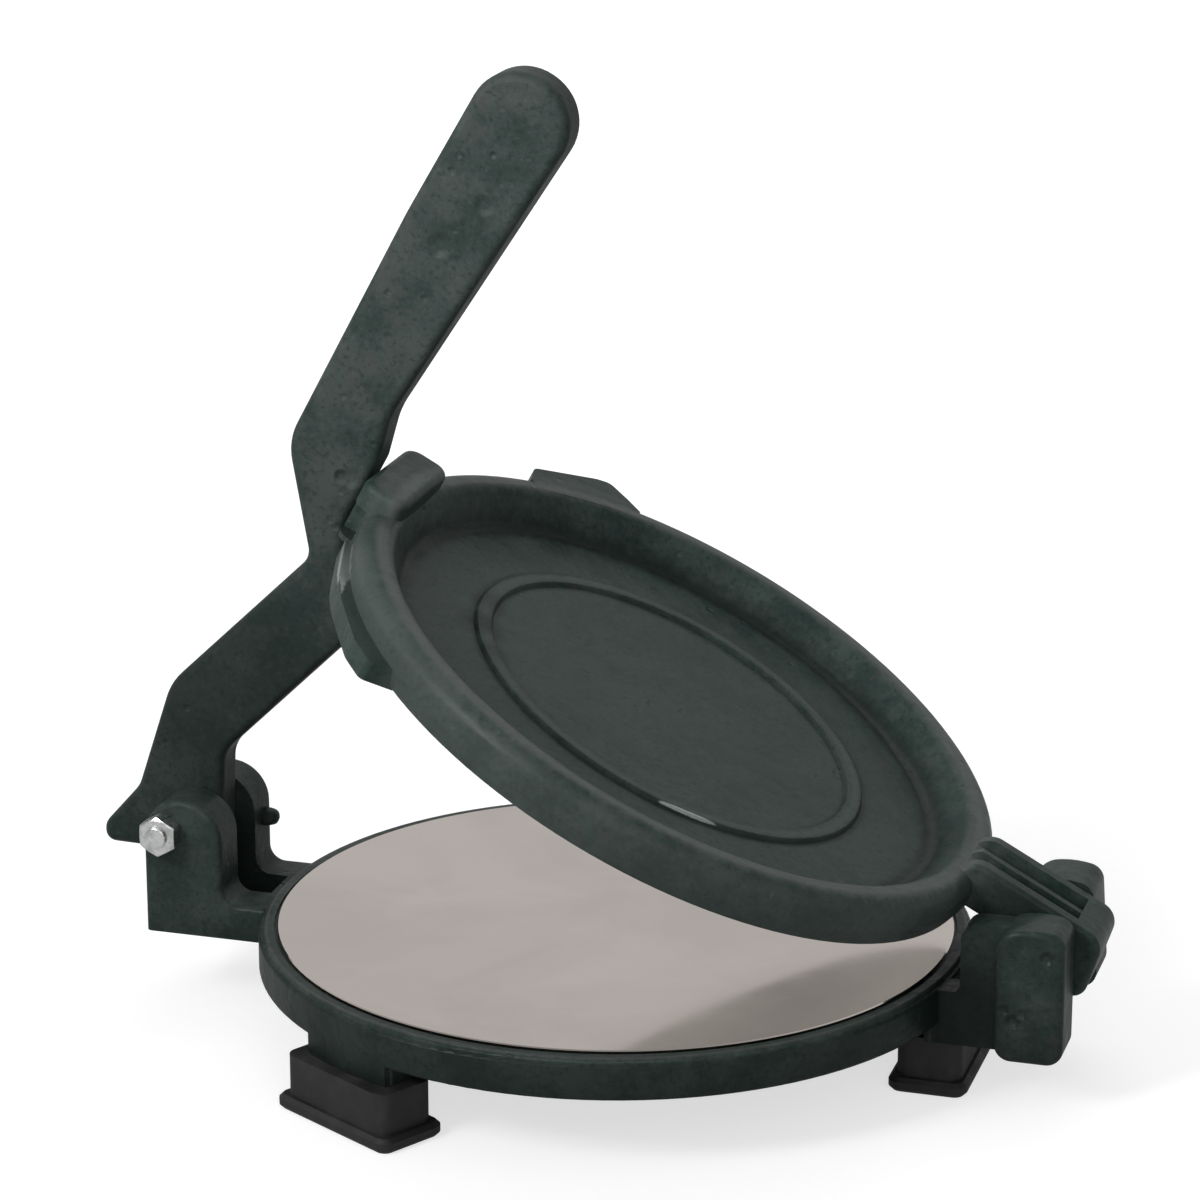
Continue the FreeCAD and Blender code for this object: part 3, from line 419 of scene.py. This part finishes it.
def spotted_with_shade(tree, colour, where, shade_spots):
    """Spots of painted shade of (centre, radius, strength), which add up where they meet."""
    spots = [tree.call(dent_group, Where=where, Centre=centre, Radius=radius, Depth=-strength)
             for centre, radius, strength in shade_spots]
    spot_shade = tree.total(*(spot["Height"] for spot in spots))
    return tree.mix(tree.math("MINIMUM", spot_shade, MOST_SPOT_SHADE), colour, PAINTED_SHADE)


def highlight_mask(tree, where, highlight_streaks):
    """Where a painted highlight streak lies, from streaks of (centre, direction, half length,
    half width).
    """
    marks = [tree.call(streak_group, Where=where, Centre=centre, Along=along,
                       Half_Length=half_length, Half_Width=half_width)
             for centre, along, half_length, half_width in highlight_streaks]
    return tree.total(*(mark["Mask"] for mark in marks))


# %% [markdown]
# The castings are dipped in a dark grey-green enamel that sags a little and dulls with use. Its
# colour is nearly black, so what the eye reads is mostly sheen, and the roughness matters more
# than the colour. The body colour drifts slowly, dust settles on the grain, and the sheen is
# broken by the same noise that drives the colour.

# %% Painted castings
DEEP_GREEN = (0.008, 0.015, 0.013, 1)
DUST = (0.056, 0.072, 0.066, 1)
RUST_BLOOM, RUST_SHARE = (0.052, 0.046, 0.046, 1), 0.40
HIGHLIGHT_IRON, HIGHLIGHT_ROUGHNESS, HIGHLIGHT_METALLIC = (0.36, 0.40, 0.38, 1), 0.30, 0.9


def painted_casting(name, dark, pale, sheen, depths, dents=(), highlight_streaks=(), shade_spots=(), low_shade=0.0,
                    disc=None, bands=()):
    """Dark enamel over a sand casting. The sheen is the roughness from glossy to dull, the
    depths are those of grain, waves and pits, and each dent has (centre, radius, depth)."""
    made, tree, shader, where = new_material(name)
    grain_depth, wave_depth, pit_depth = depths
    skin = tree.call(skin_group, Where=where, Grain_Depth=grain_depth, Wave_Depth=wave_depth,
                     Pit_Depth=pit_depth)
    hollows = tree.ramp(skin["Grain"], 0.30, 0.50, 0.55, 0.0)
    crests = tree.ramp(skin["Grain"], 0.56, 0.76, 0.0, 0.45)
    colour = tree.mix(tree.ramp(skin["Mottle"], 0.36, 0.64), dark, pale)
    colour = tree.mix(hollows, colour, DEEP_GREEN)
    colour = tree.mix(crests, colour, DUST)
    colour = tree.mix(tree.product(skin["Rust"], RUST_SHARE), colour, RUST_BLOOM)
    roughness = tree.ramp(skin["Mottle"], 0.32, 0.68, *sheen)
    # Painted shade: darker towards the bottom of the casting.
    if low_shade:
        colour = darkened_towards_bottom(tree, colour, where, skin["Mottle"], low_shade)
    # Bands of painted shade and painted highlight round the disc.
    if bands:
        colour = banded(tree, colour, where, disc, bands)
    # Soft spots of painted shade.
    if shade_spots:
        colour = spotted_with_shade(tree, colour, where, shade_spots)
    # Painted highlight streaks, drawn as shiny bare-looking iron with low roughness and some
    # metal.
    if highlight_streaks:
        highlit = highlight_mask(tree, where, highlight_streaks)
        colour = tree.mix(highlit, colour, HIGHLIGHT_IRON)
        roughness = tree.between(highlit, roughness, HIGHLIGHT_ROUGHNESS)
        tree.feed(shader.inputs["Metallic"], tree.product(highlit, HIGHLIGHT_METALLIC))
    tree.feed(shader.inputs["Base Color"], colour)
    tree.feed(shader.inputs["Roughness"], roughness)
    shader.inputs["Specular IOR Level"].default_value = 0.14
    shader.inputs["IOR"].default_value = 1.45
    hollowed = [tree.call(dent_group, Where=where, Centre=centre, Radius=radius, Depth=depth)
                for centre, radius, depth in dents]
    bump(tree, shader, tree.total(skin["Height"], *(dent["Height"] for dent in hollowed)))
    return made


# %% [markdown]
# Each casting has marks of its own, and their places are written in metres, as they lie on the
# open press. On the base, the mould left dents on the near hinge ear. The wall is painted darker
# towards the bottom and along its outer edge as painted shade, its lip has a painted highlight
# line, and spots of painted shade darken the web by the hinge pin and the place round the bolt.

# %% The base
# A pale colour for painted highlights on crests and edges.
PALE_HIGHLIGHT = (0.100, 0.108, 0.104, 1)
ear_marks = [((0.1444, -0.0295, 0.0491), 0.0024, 0.0009),
             ((0.1322, -0.0295, 0.0320), 0.0020, 0.0008),
             ((0.1349, -0.0295, 0.0286), 0.0026, 0.0011),
             ((0.1375, -0.0295, 0.0312), 0.0020, 0.0007)]
# A band of painted shade at the wall's outer edge and a painted highlight line on the lip.
wall_shade_and_lip_highlight = [(0.1073, 0.0014, 0.45, PAINTED_SHADE), (0.1050, 0.0009, 0.45, PALE_HIGHLIGHT)]
# Spots of painted shade on the web by the hinge pin and between the lever ears round the bolt.
base_shade_spots = [((0.1180, -0.0240, 0.0280), 0.024, 0.80), ((-0.1130, 0.0080, 0.0400), 0.028, 0.75)]

base_paint = painted_casting(
    "base_enamel", dark=(0.020, 0.032, 0.028, 1), pale=(0.040, 0.054, 0.049, 1),
    sheen=(0.32, 0.48), depths=(0.00010, 0.0006, 0.0004), dents=ear_marks, shade_spots=base_shade_spots,
    low_shade=0.55, disc=(base_middle, 0.0), bands=wall_shade_and_lip_highlight)

# %% [markdown]
# On the lid, painted highlight streaks of shiny bare-looking iron lie on the near ledge beside
# the lever and on one stretch of the ring on its floor. Painted shade lies in the corner of the
# dish, along both sides of the ring and in spots beside the lever and by the hinge, and the
# crests and edges carry painted highlights.
# The bands are worked out in the plane of the lid, so they are true circles on the tilted disc.

# %% The lid
# Painted highlight streaks on the near ledge and on one stretch of the ring.
ledge_highlight_streak = ((-0.0640, -0.0350, 0.1518), (0.293, -0.945, -0.146), 0.026, 0.0028)
ring_highlight_streak = ((0.0465, -0.0585, 0.0930), (0.814, 0.379, -0.440), 0.0160, 0.0009)
# Bands of painted shade in the dish's corner and beside the ring, and painted highlights on the
# crests.
corner_shade = (0.0878, 0.0062, 0.80, PAINTED_SHADE)
rim_crest_highlight = (0.0988, 0.0046, 0.60, PALE_HIGHLIGHT)
rim_edge_highlight = (0.1045, 0.0040, 0.22, PALE_HIGHLIGHT)
ring_crest_highlight = (0.0615, 0.0022, 0.22, PALE_HIGHLIGHT)
ring_side_shade = [(0.0584, 0.0016, 0.50, PAINTED_SHADE), (0.0648, 0.0018, 0.60, PAINTED_SHADE)]
# Spots of painted shade beside the lever and by the hinge.
lid_shade_spots = [((-0.0259, -0.0235, 0.1323), 0.010, 0.7), ((-0.0290, -0.0075, 0.1340), 0.009, 0.5),
           ((-0.0188, -0.0367, 0.1285), 0.008, 0.5), ((0.1300, -0.0190, 0.0530), 0.022, 0.6)]

lid_paint = painted_casting(
    "lid_enamel", dark=(0.018, 0.032, 0.028, 1), pale=(0.035, 0.051, 0.046, 1),
    sheen=(0.32, 0.48), depths=(0.00009, 0.0005, 0.0003), highlight_streaks=[ledge_highlight_streak, ring_highlight_streak],
    shade_spots=lid_shade_spots, disc=(lid_middle, lid_tilt),
    bands=[corner_shade, rim_crest_highlight, ring_crest_highlight, *ring_side_shade, rim_edge_highlight])

# %% [markdown]
# The lever is a flat casting, with a few dents of the mould on its handle and painted shade round
# its foot. It is handled more than the rest, and its enamel is duller for it.

# %% The lever
handle_marks = [((-0.0435, -0.0068, 0.2397), 0.0045, 0.0008),
                ((-0.0722, -0.0068, 0.1676), 0.0040, 0.0007),
                ((-0.0753, -0.0068, 0.1677), 0.0026, 0.0010),
                ((-0.0300, -0.0068, 0.2520), 0.0035, 0.0005)]
# Painted shade round the foot of the lever.
lever_shade_spots = [((-0.1160, -0.0068, 0.0980), 0.056, 0.45)]

lever_paint = painted_casting(
    "lever_enamel", dark=(0.019, 0.030, 0.027, 1), pale=(0.038, 0.048, 0.045, 1),
    sheen=(0.42, 0.58), depths=(0.00010, 0.0005, 0.0004), dents=handle_marks, shade_spots=lever_shade_spots)

# %% [markdown]
# The pressing plates are thin sheet steel, polished but wiped and scratched by use. Rolled
# sheet mirrors the room a little blurred, so the roughness is low and drifts with smears, and
# the fine scratches roughen it in threads. The plate under the lid is given darker and greener
# steel, a painted reflection of the dark iron round it, and the lower plate mirrors it as a dark
# shape.

# %% Polished steel
WIPED_LINE = (0.78, 0.74, 0.70, 1)
SMEARS, BUCKLES = 17.0, 9.0
SCRATCH_DEPTH, BUCKLE_DEPTH = 0.000004, 0.00006


def polished_sheet(name, centre, tilt, dark, pale):
    """Steel sheet whose pattern lies in its own plane, turned and centred by a mapping."""
    made, tree, shader, where = new_material(name)
    flat = disc_plane(tree, where, centre, tilt)
    one = tree.call(scratch_group, Where=flat, Turn=0.35, Amount=1.0)["Mask"]
    two = tree.call(scratch_group, Where=flat, Turn=-0.8, Amount=0.7)["Mask"]
    lines = tree.math("MAXIMUM", one, two)
    smear = tree.noise(flat, SMEARS, detail=3.0, rough=0.6, distortion=0.6)
    colour = tree.mix(tree.ramp(smear, 0.3, 0.7), dark, pale)
    colour = tree.mix(tree.product(lines, 0.35), colour, WIPED_LINE)
    gloss = tree.ramp(smear, 0.3, 0.75, 0.06, 0.11)
    tree.feed(shader.inputs["Base Color"], colour)
    tree.feed(shader.inputs["Roughness"], tree.total(gloss, tree.product(lines, 0.12)))
    shader.inputs["Metallic"].default_value = 1.0
    buckle = tree.product(tree.noise(flat, BUCKLES, detail=1.0), BUCKLE_DEPTH)
    bump(tree, shader, tree.math("SUBTRACT", buckle, tree.product(lines, SCRATCH_DEPTH)))
    return made


base_steel = polished_sheet("base_plate_steel", base_middle, 0.0,
                            dark=(0.620, 0.560, 0.522, 1), pale=(0.690, 0.623, 0.580, 1))
# Darker and greener steel: a painted reflection of the dark iron of the lid.
lid_steel_darkened = polished_sheet("lid_plate_steel", lid_middle, lid_tilt,
                           dark=(0.470, 0.475, 0.440, 1), pale=(0.530, 0.530, 0.490, 1))

# %% [markdown]
# The nut and bolt are plated with bright zinc, which shows its grains as faint patches. The
# hinge pin is plain drawn steel, dark with oil, and the screws under the feet are blackened.
# All three are metals whose roughness changes from patch to patch, so one function makes them.

# %% Zinc and plain steel
CRYSTALS, FINGER_SMEARS = 900.0, 260.0
SMEAR_DEPTH = 0.00002


def plated(name, pale, dark, gloss):
    """Metal with crystal patches, whose roughness lies in the range that gloss gives."""
    made, tree, shader, where = new_material(name)
    patch = tree.node("ShaderNodeSeparateColor")
    tree.feed(patch.inputs[0], tree.cells(where, CRYSTALS)["Color"])
    smear = tree.noise(where, FINGER_SMEARS, detail=3.0, rough=0.6)
    tree.feed(shader.inputs["Base Color"], tree.mix(tree.ramp(smear, 0.35, 0.7), pale, dark))
    tree.feed(shader.inputs["Roughness"], tree.ramp(patch.outputs[0], 0.0, 1.0, *gloss))
    shader.inputs["Metallic"].default_value = 1.0
    bump(tree, shader, tree.product(smear, SMEAR_DEPTH))
    return made


zinc = plated("zinc_plating", pale=(0.78, 0.79, 0.78, 1), dark=(0.52, 0.54, 0.53, 1),
              gloss=(0.20, 0.34))
pin_steel = plated("oiled_pin_steel", pale=(0.30, 0.29, 0.27, 1), dark=(0.16, 0.15, 0.14, 1),
                   gloss=(0.28, 0.40))
screw_steel = plated("black_screw_steel", pale=(0.10, 0.10, 0.10, 1), dark=(0.05, 0.05, 0.05, 1),
                     gloss=(0.35, 0.5))

# %% [markdown]
# The feet are moulded from black rubber. It has a dusty bloom that comes in clouds, the fine
# texture of the mould, and a slow unevenness where it has shrunk.

# %% Rubber
BLACK_RUBBER = (0.0075, 0.0075, 0.0078, 1)
RUBBER_BLOOM = (0.026, 0.025, 0.0255, 1)
MOULD_TEXTURE, MOULD_DEPTH = 1400.0, 0.00003
SHRINKING, SHRINK_DEPTH = 120.0, 0.00012


def moulded_rubber(name):
    """Black rubber whose colour and roughness follow one cloudy noise."""
    made, tree, shader, where = new_material(name)
    bloom = tree.noise(where, 90.0, detail=4.0, rough=0.62)
    colour = tree.mix(tree.ramp(bloom, 0.42, 0.72), BLACK_RUBBER, RUBBER_BLOOM)
    tree.feed(shader.inputs["Base Color"], colour)
    tree.feed(shader.inputs["Roughness"], tree.ramp(bloom, 0.3, 0.7, 0.55, 0.75))
    bump(tree, shader, tree.total(tree.product(tree.noise(where, MOULD_TEXTURE), MOULD_DEPTH),
                                  tree.product(tree.noise(where, SHRINKING), SHRINK_DEPTH)))
    return made


rubber = moulded_rubber("foot_rubber")

# %% [markdown]
# Each node of the frame now gets its finish. A node is all of one stuff, so one material covers
# it, and the shapes are left alone.

# %% Dress the frame
finishes = {
    "base_casting": base_paint, "lid_casting": lid_paint, "lever": lever_paint,
    "base_plate": base_steel, "lid_plate": lid_steel_darkened,
    "lever_bolt": zinc, "lever_nut": zinc, "hinge_pin": pin_steel,
    "foot_near": rubber, "foot_far": rubber, "foot_hinge": rubber,
    "foot_screws": screw_steel, "foot_washers": zinc,
}
for name, finish in finishes.items():
    nodes[name].data.materials.clear()
    nodes[name].data.materials.append(finish)
print("not dressed:", sorted(set(nodes) - set(finishes)) or "none")

# %% [markdown]
# ## Surfaces from two parameters
# A new piece is a grid of points worked out with whole arrays: one parameter runs round the
# shape, the other along it. The grid's rows and columns give the faces. A shape that is closed
# all round joins its last column to its first, and its end rows are each one point, which are
# merged so that no edge is left open.

# %% Grids to meshes


def placed(name, data):
    """An object in the scene for a mesh, a lamp or a camera."""
    made = bpy.data.objects.new(name, data)
    bpy.context.scene.collection.objects.link(made)
    return made


def grid_mesh(name, points, closed=False):
    """Faces between neighbouring points of a rows x columns grid; closed columns wrap round."""
    rows, columns = points.shape[:2]
    index = np.arange(rows * columns).reshape(rows, columns)
    edge = np.stack([index[:-1], index[1:]], -1)
    after = np.roll(edge, -1, 1) if closed else edge[:, 1:]
    before = edge if closed else edge[:, :-1]
    faces = np.stack([before[..., 0], after[..., 0], after[..., 1], before[..., 1]], -1)
    mesh = bpy.data.meshes.new(name)
    mesh.from_pydata(points.reshape(-1, 3).tolist(), [], faces.reshape(-1, 4).tolist())
    mesh.shade_smooth()
    return placed(name, mesh)


def closed_skin(name, points):
    """A closed mesh: each end row of the grid is one point, and its columns wrap round."""
    made = grid_mesh(name, points, closed=True)
    skin = bmesh.new()
    skin.from_mesh(made.data)
    bmesh.ops.remove_doubles(skin, verts=skin.verts, dist=0.001 * MM)
    bmesh.ops.recalc_face_normals(skin, faces=skin.faces)
    skin.to_mesh(made.data)
    skin.free()
    return made


def finished(piece, finish, body):
    """Give a piece its finish and the body it belongs to."""
    piece.data.materials.append(finish)
    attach(piece, body)
    print(piece.name, "faces:", len(piece.data.polygons))


# %% [markdown]
# ## Small things that stand on the castings
# A thread can't be seen inside the nut, but its last turn stands out of it: a ridge that climbs
# round the bolt by one pitch a turn. A cut helix would need a profile swept along it. Here the
# radius of a plain tube rises and falls with the turn, which closes more easily.

# %% Thread end
ROUND_STEPS, ALONG_STEPS = 96, 20
BOLT_RADIUS, THREAD_PITCH, RIDGE_HEIGHT = 3.175 * MM, 1.27 * MM, 0.28 * MM
LEAD_IN, TIP_DEPTH, TIP_SHARE = 0.35 * MM, 0.10 * MM, 0.80
INSIDE_NUT, PROUD = 0.3 * MM, 0.02 * MM


def thread_end(name, centre, shank, start, end):
    """Radius = shank + ridge height x triangle wave of (distance / pitch + turn), eased at the
    end. A last row, drawn in and pushed out a little, rounds the tip."""
    turn = np.linspace(0, 2 * np.pi, ROUND_STEPS, endpoint=False)[None, :]
    along = np.linspace(start, end, ALONG_STEPS)[:, None]
    wave = 1 - np.abs(2 * ((along / THREAD_PITCH + turn / (2 * np.pi)) % 1) - 1)
    fade = np.clip((along - end) / LEAD_IN, 0, 1)
    radius = shank + RIDGE_HEIGHT * wave * fade
    tip = along[-1:] - TIP_DEPTH
    radius = np.concatenate([radius[:1] * 0, radius, radius[-1:] * TIP_SHARE, radius[-1:] * 0])
    along = np.concatenate([along[:1], along, tip, tip])
    points = np.stack([centre[0] + radius * np.cos(turn),
                       along + 0 * turn,
                       centre[2] + radius * np.sin(turn)], -1)
    return closed_skin(name, points)


nut_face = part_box("lever_nut")[0][1]
bolt_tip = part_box("lever_bolt")[0][1]
thread = thread_end("bolt_thread", nut_middle, BOLT_RADIUS + PROUD, nut_face + INSIDE_NUT,
                    bolt_tip - PROUD)
finished(thread, zinc, "base")

# %% [markdown]
# On the edge of the far bracket ear the fettler has left a stub of the gate, where the iron ran
# into the mould. It was broken off rather than cut, so it is a squarish lump with chipped sides.
# A ball gives it: a power squares its sides, and two waves of different count chip them.

# %% Gate stub
STUB_MIDDLE = (-110.7 * MM, 17.0 * MM, 48.8 * MM)
STUB_HALF_SIZES = (3.7 * MM, 3.3 * MM, 2.7 * MM)
STUB_ROUND_STEPS, STUB_RISE_STEPS = 48, 25
END_POWER, SIDE_POWER = 0.8, 0.7
DEEP_CHIP, SHALLOW_CHIP = 0.07, 0.04


def gate_stub(name, centre, half):
    """A ball stretched to three half sizes, with the sine and cosine of its rise to a power
    below one, and its radius x (1 + three waves round it + five waves that lean)."""
    turn = np.linspace(0, 2 * np.pi, STUB_ROUND_STEPS, endpoint=False)[None, :]
    rise = np.linspace(-np.pi / 2, np.pi / 2, STUB_RISE_STEPS)[:, None]
    flat = np.cos(rise) ** SIDE_POWER
    reach = np.sign(np.sin(rise)) * np.abs(np.sin(rise)) ** END_POWER
    deep = DEEP_CHIP * np.cos(3 * turn + 1) * np.cos(rise) ** 2
    chip = 1 + deep + SHALLOW_CHIP * np.cos(5 * turn + 2 * rise)
    points = np.stack([centre[0] + half[0] * reach + 0 * turn,
                       centre[1] + half[1] * flat * chip * np.cos(turn),
                       centre[2] + half[2] * flat * chip * np.sin(turn)], -1)
    return closed_skin(name, points)


stub = gate_stub("gate_stub", STUB_MIDDLE, STUB_HALF_SIZES)
finished(stub, base_paint, "base")

# %% [markdown]
# ## The studio
# The press stands on a pale sheet of paper. The floor shows white to the camera by its own glow
# and keeps the shadow of the press: the glow is for the camera's rays and, much less, for those
# that metal mirrors, so it hardly lights the iron. It grows with the distance from the press, so
# the far floor is plain white.

# %% Floor
FLOOR_HALF, FLOOR_LINES = 6.0, 5
FLOOR_GLOW, FAR_GLOW = 0.66, 0.88
GLOW_START, GLOW_END = 0.25, 1.2
MIRRORED_SHARE = 0.25


def ray_kinds(tree):
    """The light path's outputs, and a mask for the rays that metal or glass sends on."""
    rays = tree.node("ShaderNodeLightPath").outputs
    return rays, tree.math("MAXIMUM", rays["Is Glossy Ray"], rays["Is Transmission Ray"])


def white_paper(name):
    """Dull paper plus a glow of (camera rays, or a share of mirrored ones) x far glow."""
    made, tree, shader, where = new_material(name)
    shader.inputs["Base Color"].default_value = (0.5, 0.5, 0.5, 1)
    shader.inputs["Roughness"].default_value = 0.9
    shader.inputs["Specular IOR Level"].default_value = 0.0
    rays, mirrored = ray_kinds(tree)
    far = tree.ramp(tree.vector("LENGTH", where), GLOW_START, GLOW_END, FLOOR_GLOW, FAR_GLOW)
    seen = tree.math("MAXIMUM", rays["Is Camera Ray"], tree.product(mirrored, MIRRORED_SHARE))
    glow = tree.node("ShaderNodeEmission")
    tree.feed(glow.inputs["Strength"], tree.product(seen, far))
    both = tree.node("ShaderNodeAddShader")
    tree.feed(both.inputs[0], shader.outputs[0])
    tree.feed(both.inputs[1], glow.outputs[0])
    tree.feed(made.node_tree.nodes["Material Output"].inputs["Surface"], both.outputs[0])
    return made


lines = np.linspace(-FLOOR_HALF, FLOOR_HALF, FLOOR_LINES)
across, away = np.meshgrid(lines, lines, indexing="ij")
floor = grid_mesh("studio_floor", np.stack([across, away, 0 * across], -1))
floor.data.materials.append(white_paper("white_paper"))
print("floor:", 2 * FLOOR_HALF, "metres wide")

# %% [markdown]
# The room is white to the camera and lights the press evenly. What steel and sheen mirror is
# brighter behind the press than on the camera's side, as in a studio with a white sweep behind
# the table and a dark room in front of it.

# %% Room
ROOM_LIGHT = 0.42
MIRRORED_FRONT, MIRRORED_BACK = 0.30, 0.61
world = bpy.context.scene.world or bpy.data.worlds.new("room")
bpy.context.scene.world = world
world.use_nodes = True
room = Tree(world.node_tree)
rays, mirrored = ray_kinds(room)
way = room.node("ShaderNodeSeparateXYZ")
room.feed(way.inputs[0], room.node("ShaderNodeTexCoord").outputs["Generated"])
back = room.ramp(way.outputs["Y"], -0.6, 0.5, MIRRORED_FRONT, MIRRORED_BACK)
light = room.between(mirrored, ROOM_LIGHT, back)
background = world.node_tree.nodes["Background"]
background.inputs["Color"].default_value = (1, 1, 1, 1)
room.feed(background.inputs["Strength"], room.between(rays["Is Camera Ray"], light, 1.0))
print("room light:", ROOM_LIGHT)

# %% [markdown]
# The main lamp stands in front on the left, so the lever throws its soft shadow on the left of
# the lid. A weak one fills the front, a wide one lights the top from behind, and a small lamp
# with a narrow beam picks out the top of the lever.

# %% Lamps


def soft_lamp(name, place, aim, power, width, spread=180):
    """A square lamp in metres and watts, whose light leaves it within the spread in degrees."""
    data = bpy.data.lights.new(name, "AREA")
    data.energy = power
    data.size = width
    data.spread = math.radians(spread)
    made = placed(name, data)
    made.location = place
    made.rotation_euler = (Vector(aim) - Vector(place)).to_track_quat("-Z", "Y").to_euler()
    print("lamp:", name, power, "watts")


press_middle = (0.0, 0.0, 0.10)
lever_top = (-0.03, 0.0, 0.26)
soft_lamp("key_left", (-0.9, -1.2, 1.3), press_middle, power=12.0, width=0.55)
soft_lamp("fill_front", (0.6, -1.4, 0.8), press_middle, power=4.5, width=0.9)
soft_lamp("top_back", (-0.1, 0.9, 1.6), press_middle, power=6.0, width=1.2)
soft_lamp("lever_light", (-0.30, -0.52, 0.46), lever_top, power=0.30, width=0.20, spread=48)

# %% [markdown]
# ## The camera
# The photograph looks down on the press at about 17 degrees, from about 17 degrees to the right
# of its front, through a long lens: the near and far rims differ little in size. The aim point
# lies a little left of the middle of the base, at about half the height of the press.

# %% Camera
VIEW_TURN, VIEW_RISE = math.radians(16.788), math.radians(17.302)
VIEW_DISTANCE = 1234.43 * MM
AIM_RIGHT, AIM_HEIGHT = -4.709 * MM, 135.042 * MM
LENS, FILM_WIDTH = 126.0, 36.0

right = np.array([math.cos(VIEW_TURN), math.sin(VIEW_TURN), 0.0])
ahead = np.array([-math.sin(VIEW_TURN) * math.cos(VIEW_RISE),
                  math.cos(VIEW_TURN) * math.cos(VIEW_RISE),
                  -math.sin(VIEW_RISE)])
target = np.array([base_middle[0], 0.0, AIM_HEIGHT]) + right * AIM_RIGHT
lens = bpy.data.cameras.new("camera")
lens.lens = LENS
lens.sensor_width = FILM_WIDTH
camera = placed("camera", lens)
camera.location = target - ahead * VIEW_DISTANCE
camera.rotation_euler = (math.pi / 2 - VIEW_RISE, 0.0, VIEW_TURN)
bpy.context.scene.camera = camera
bpy.context.scene.view_settings.view_transform = "Standard"
print("camera at", np.array(camera.location).round(4))
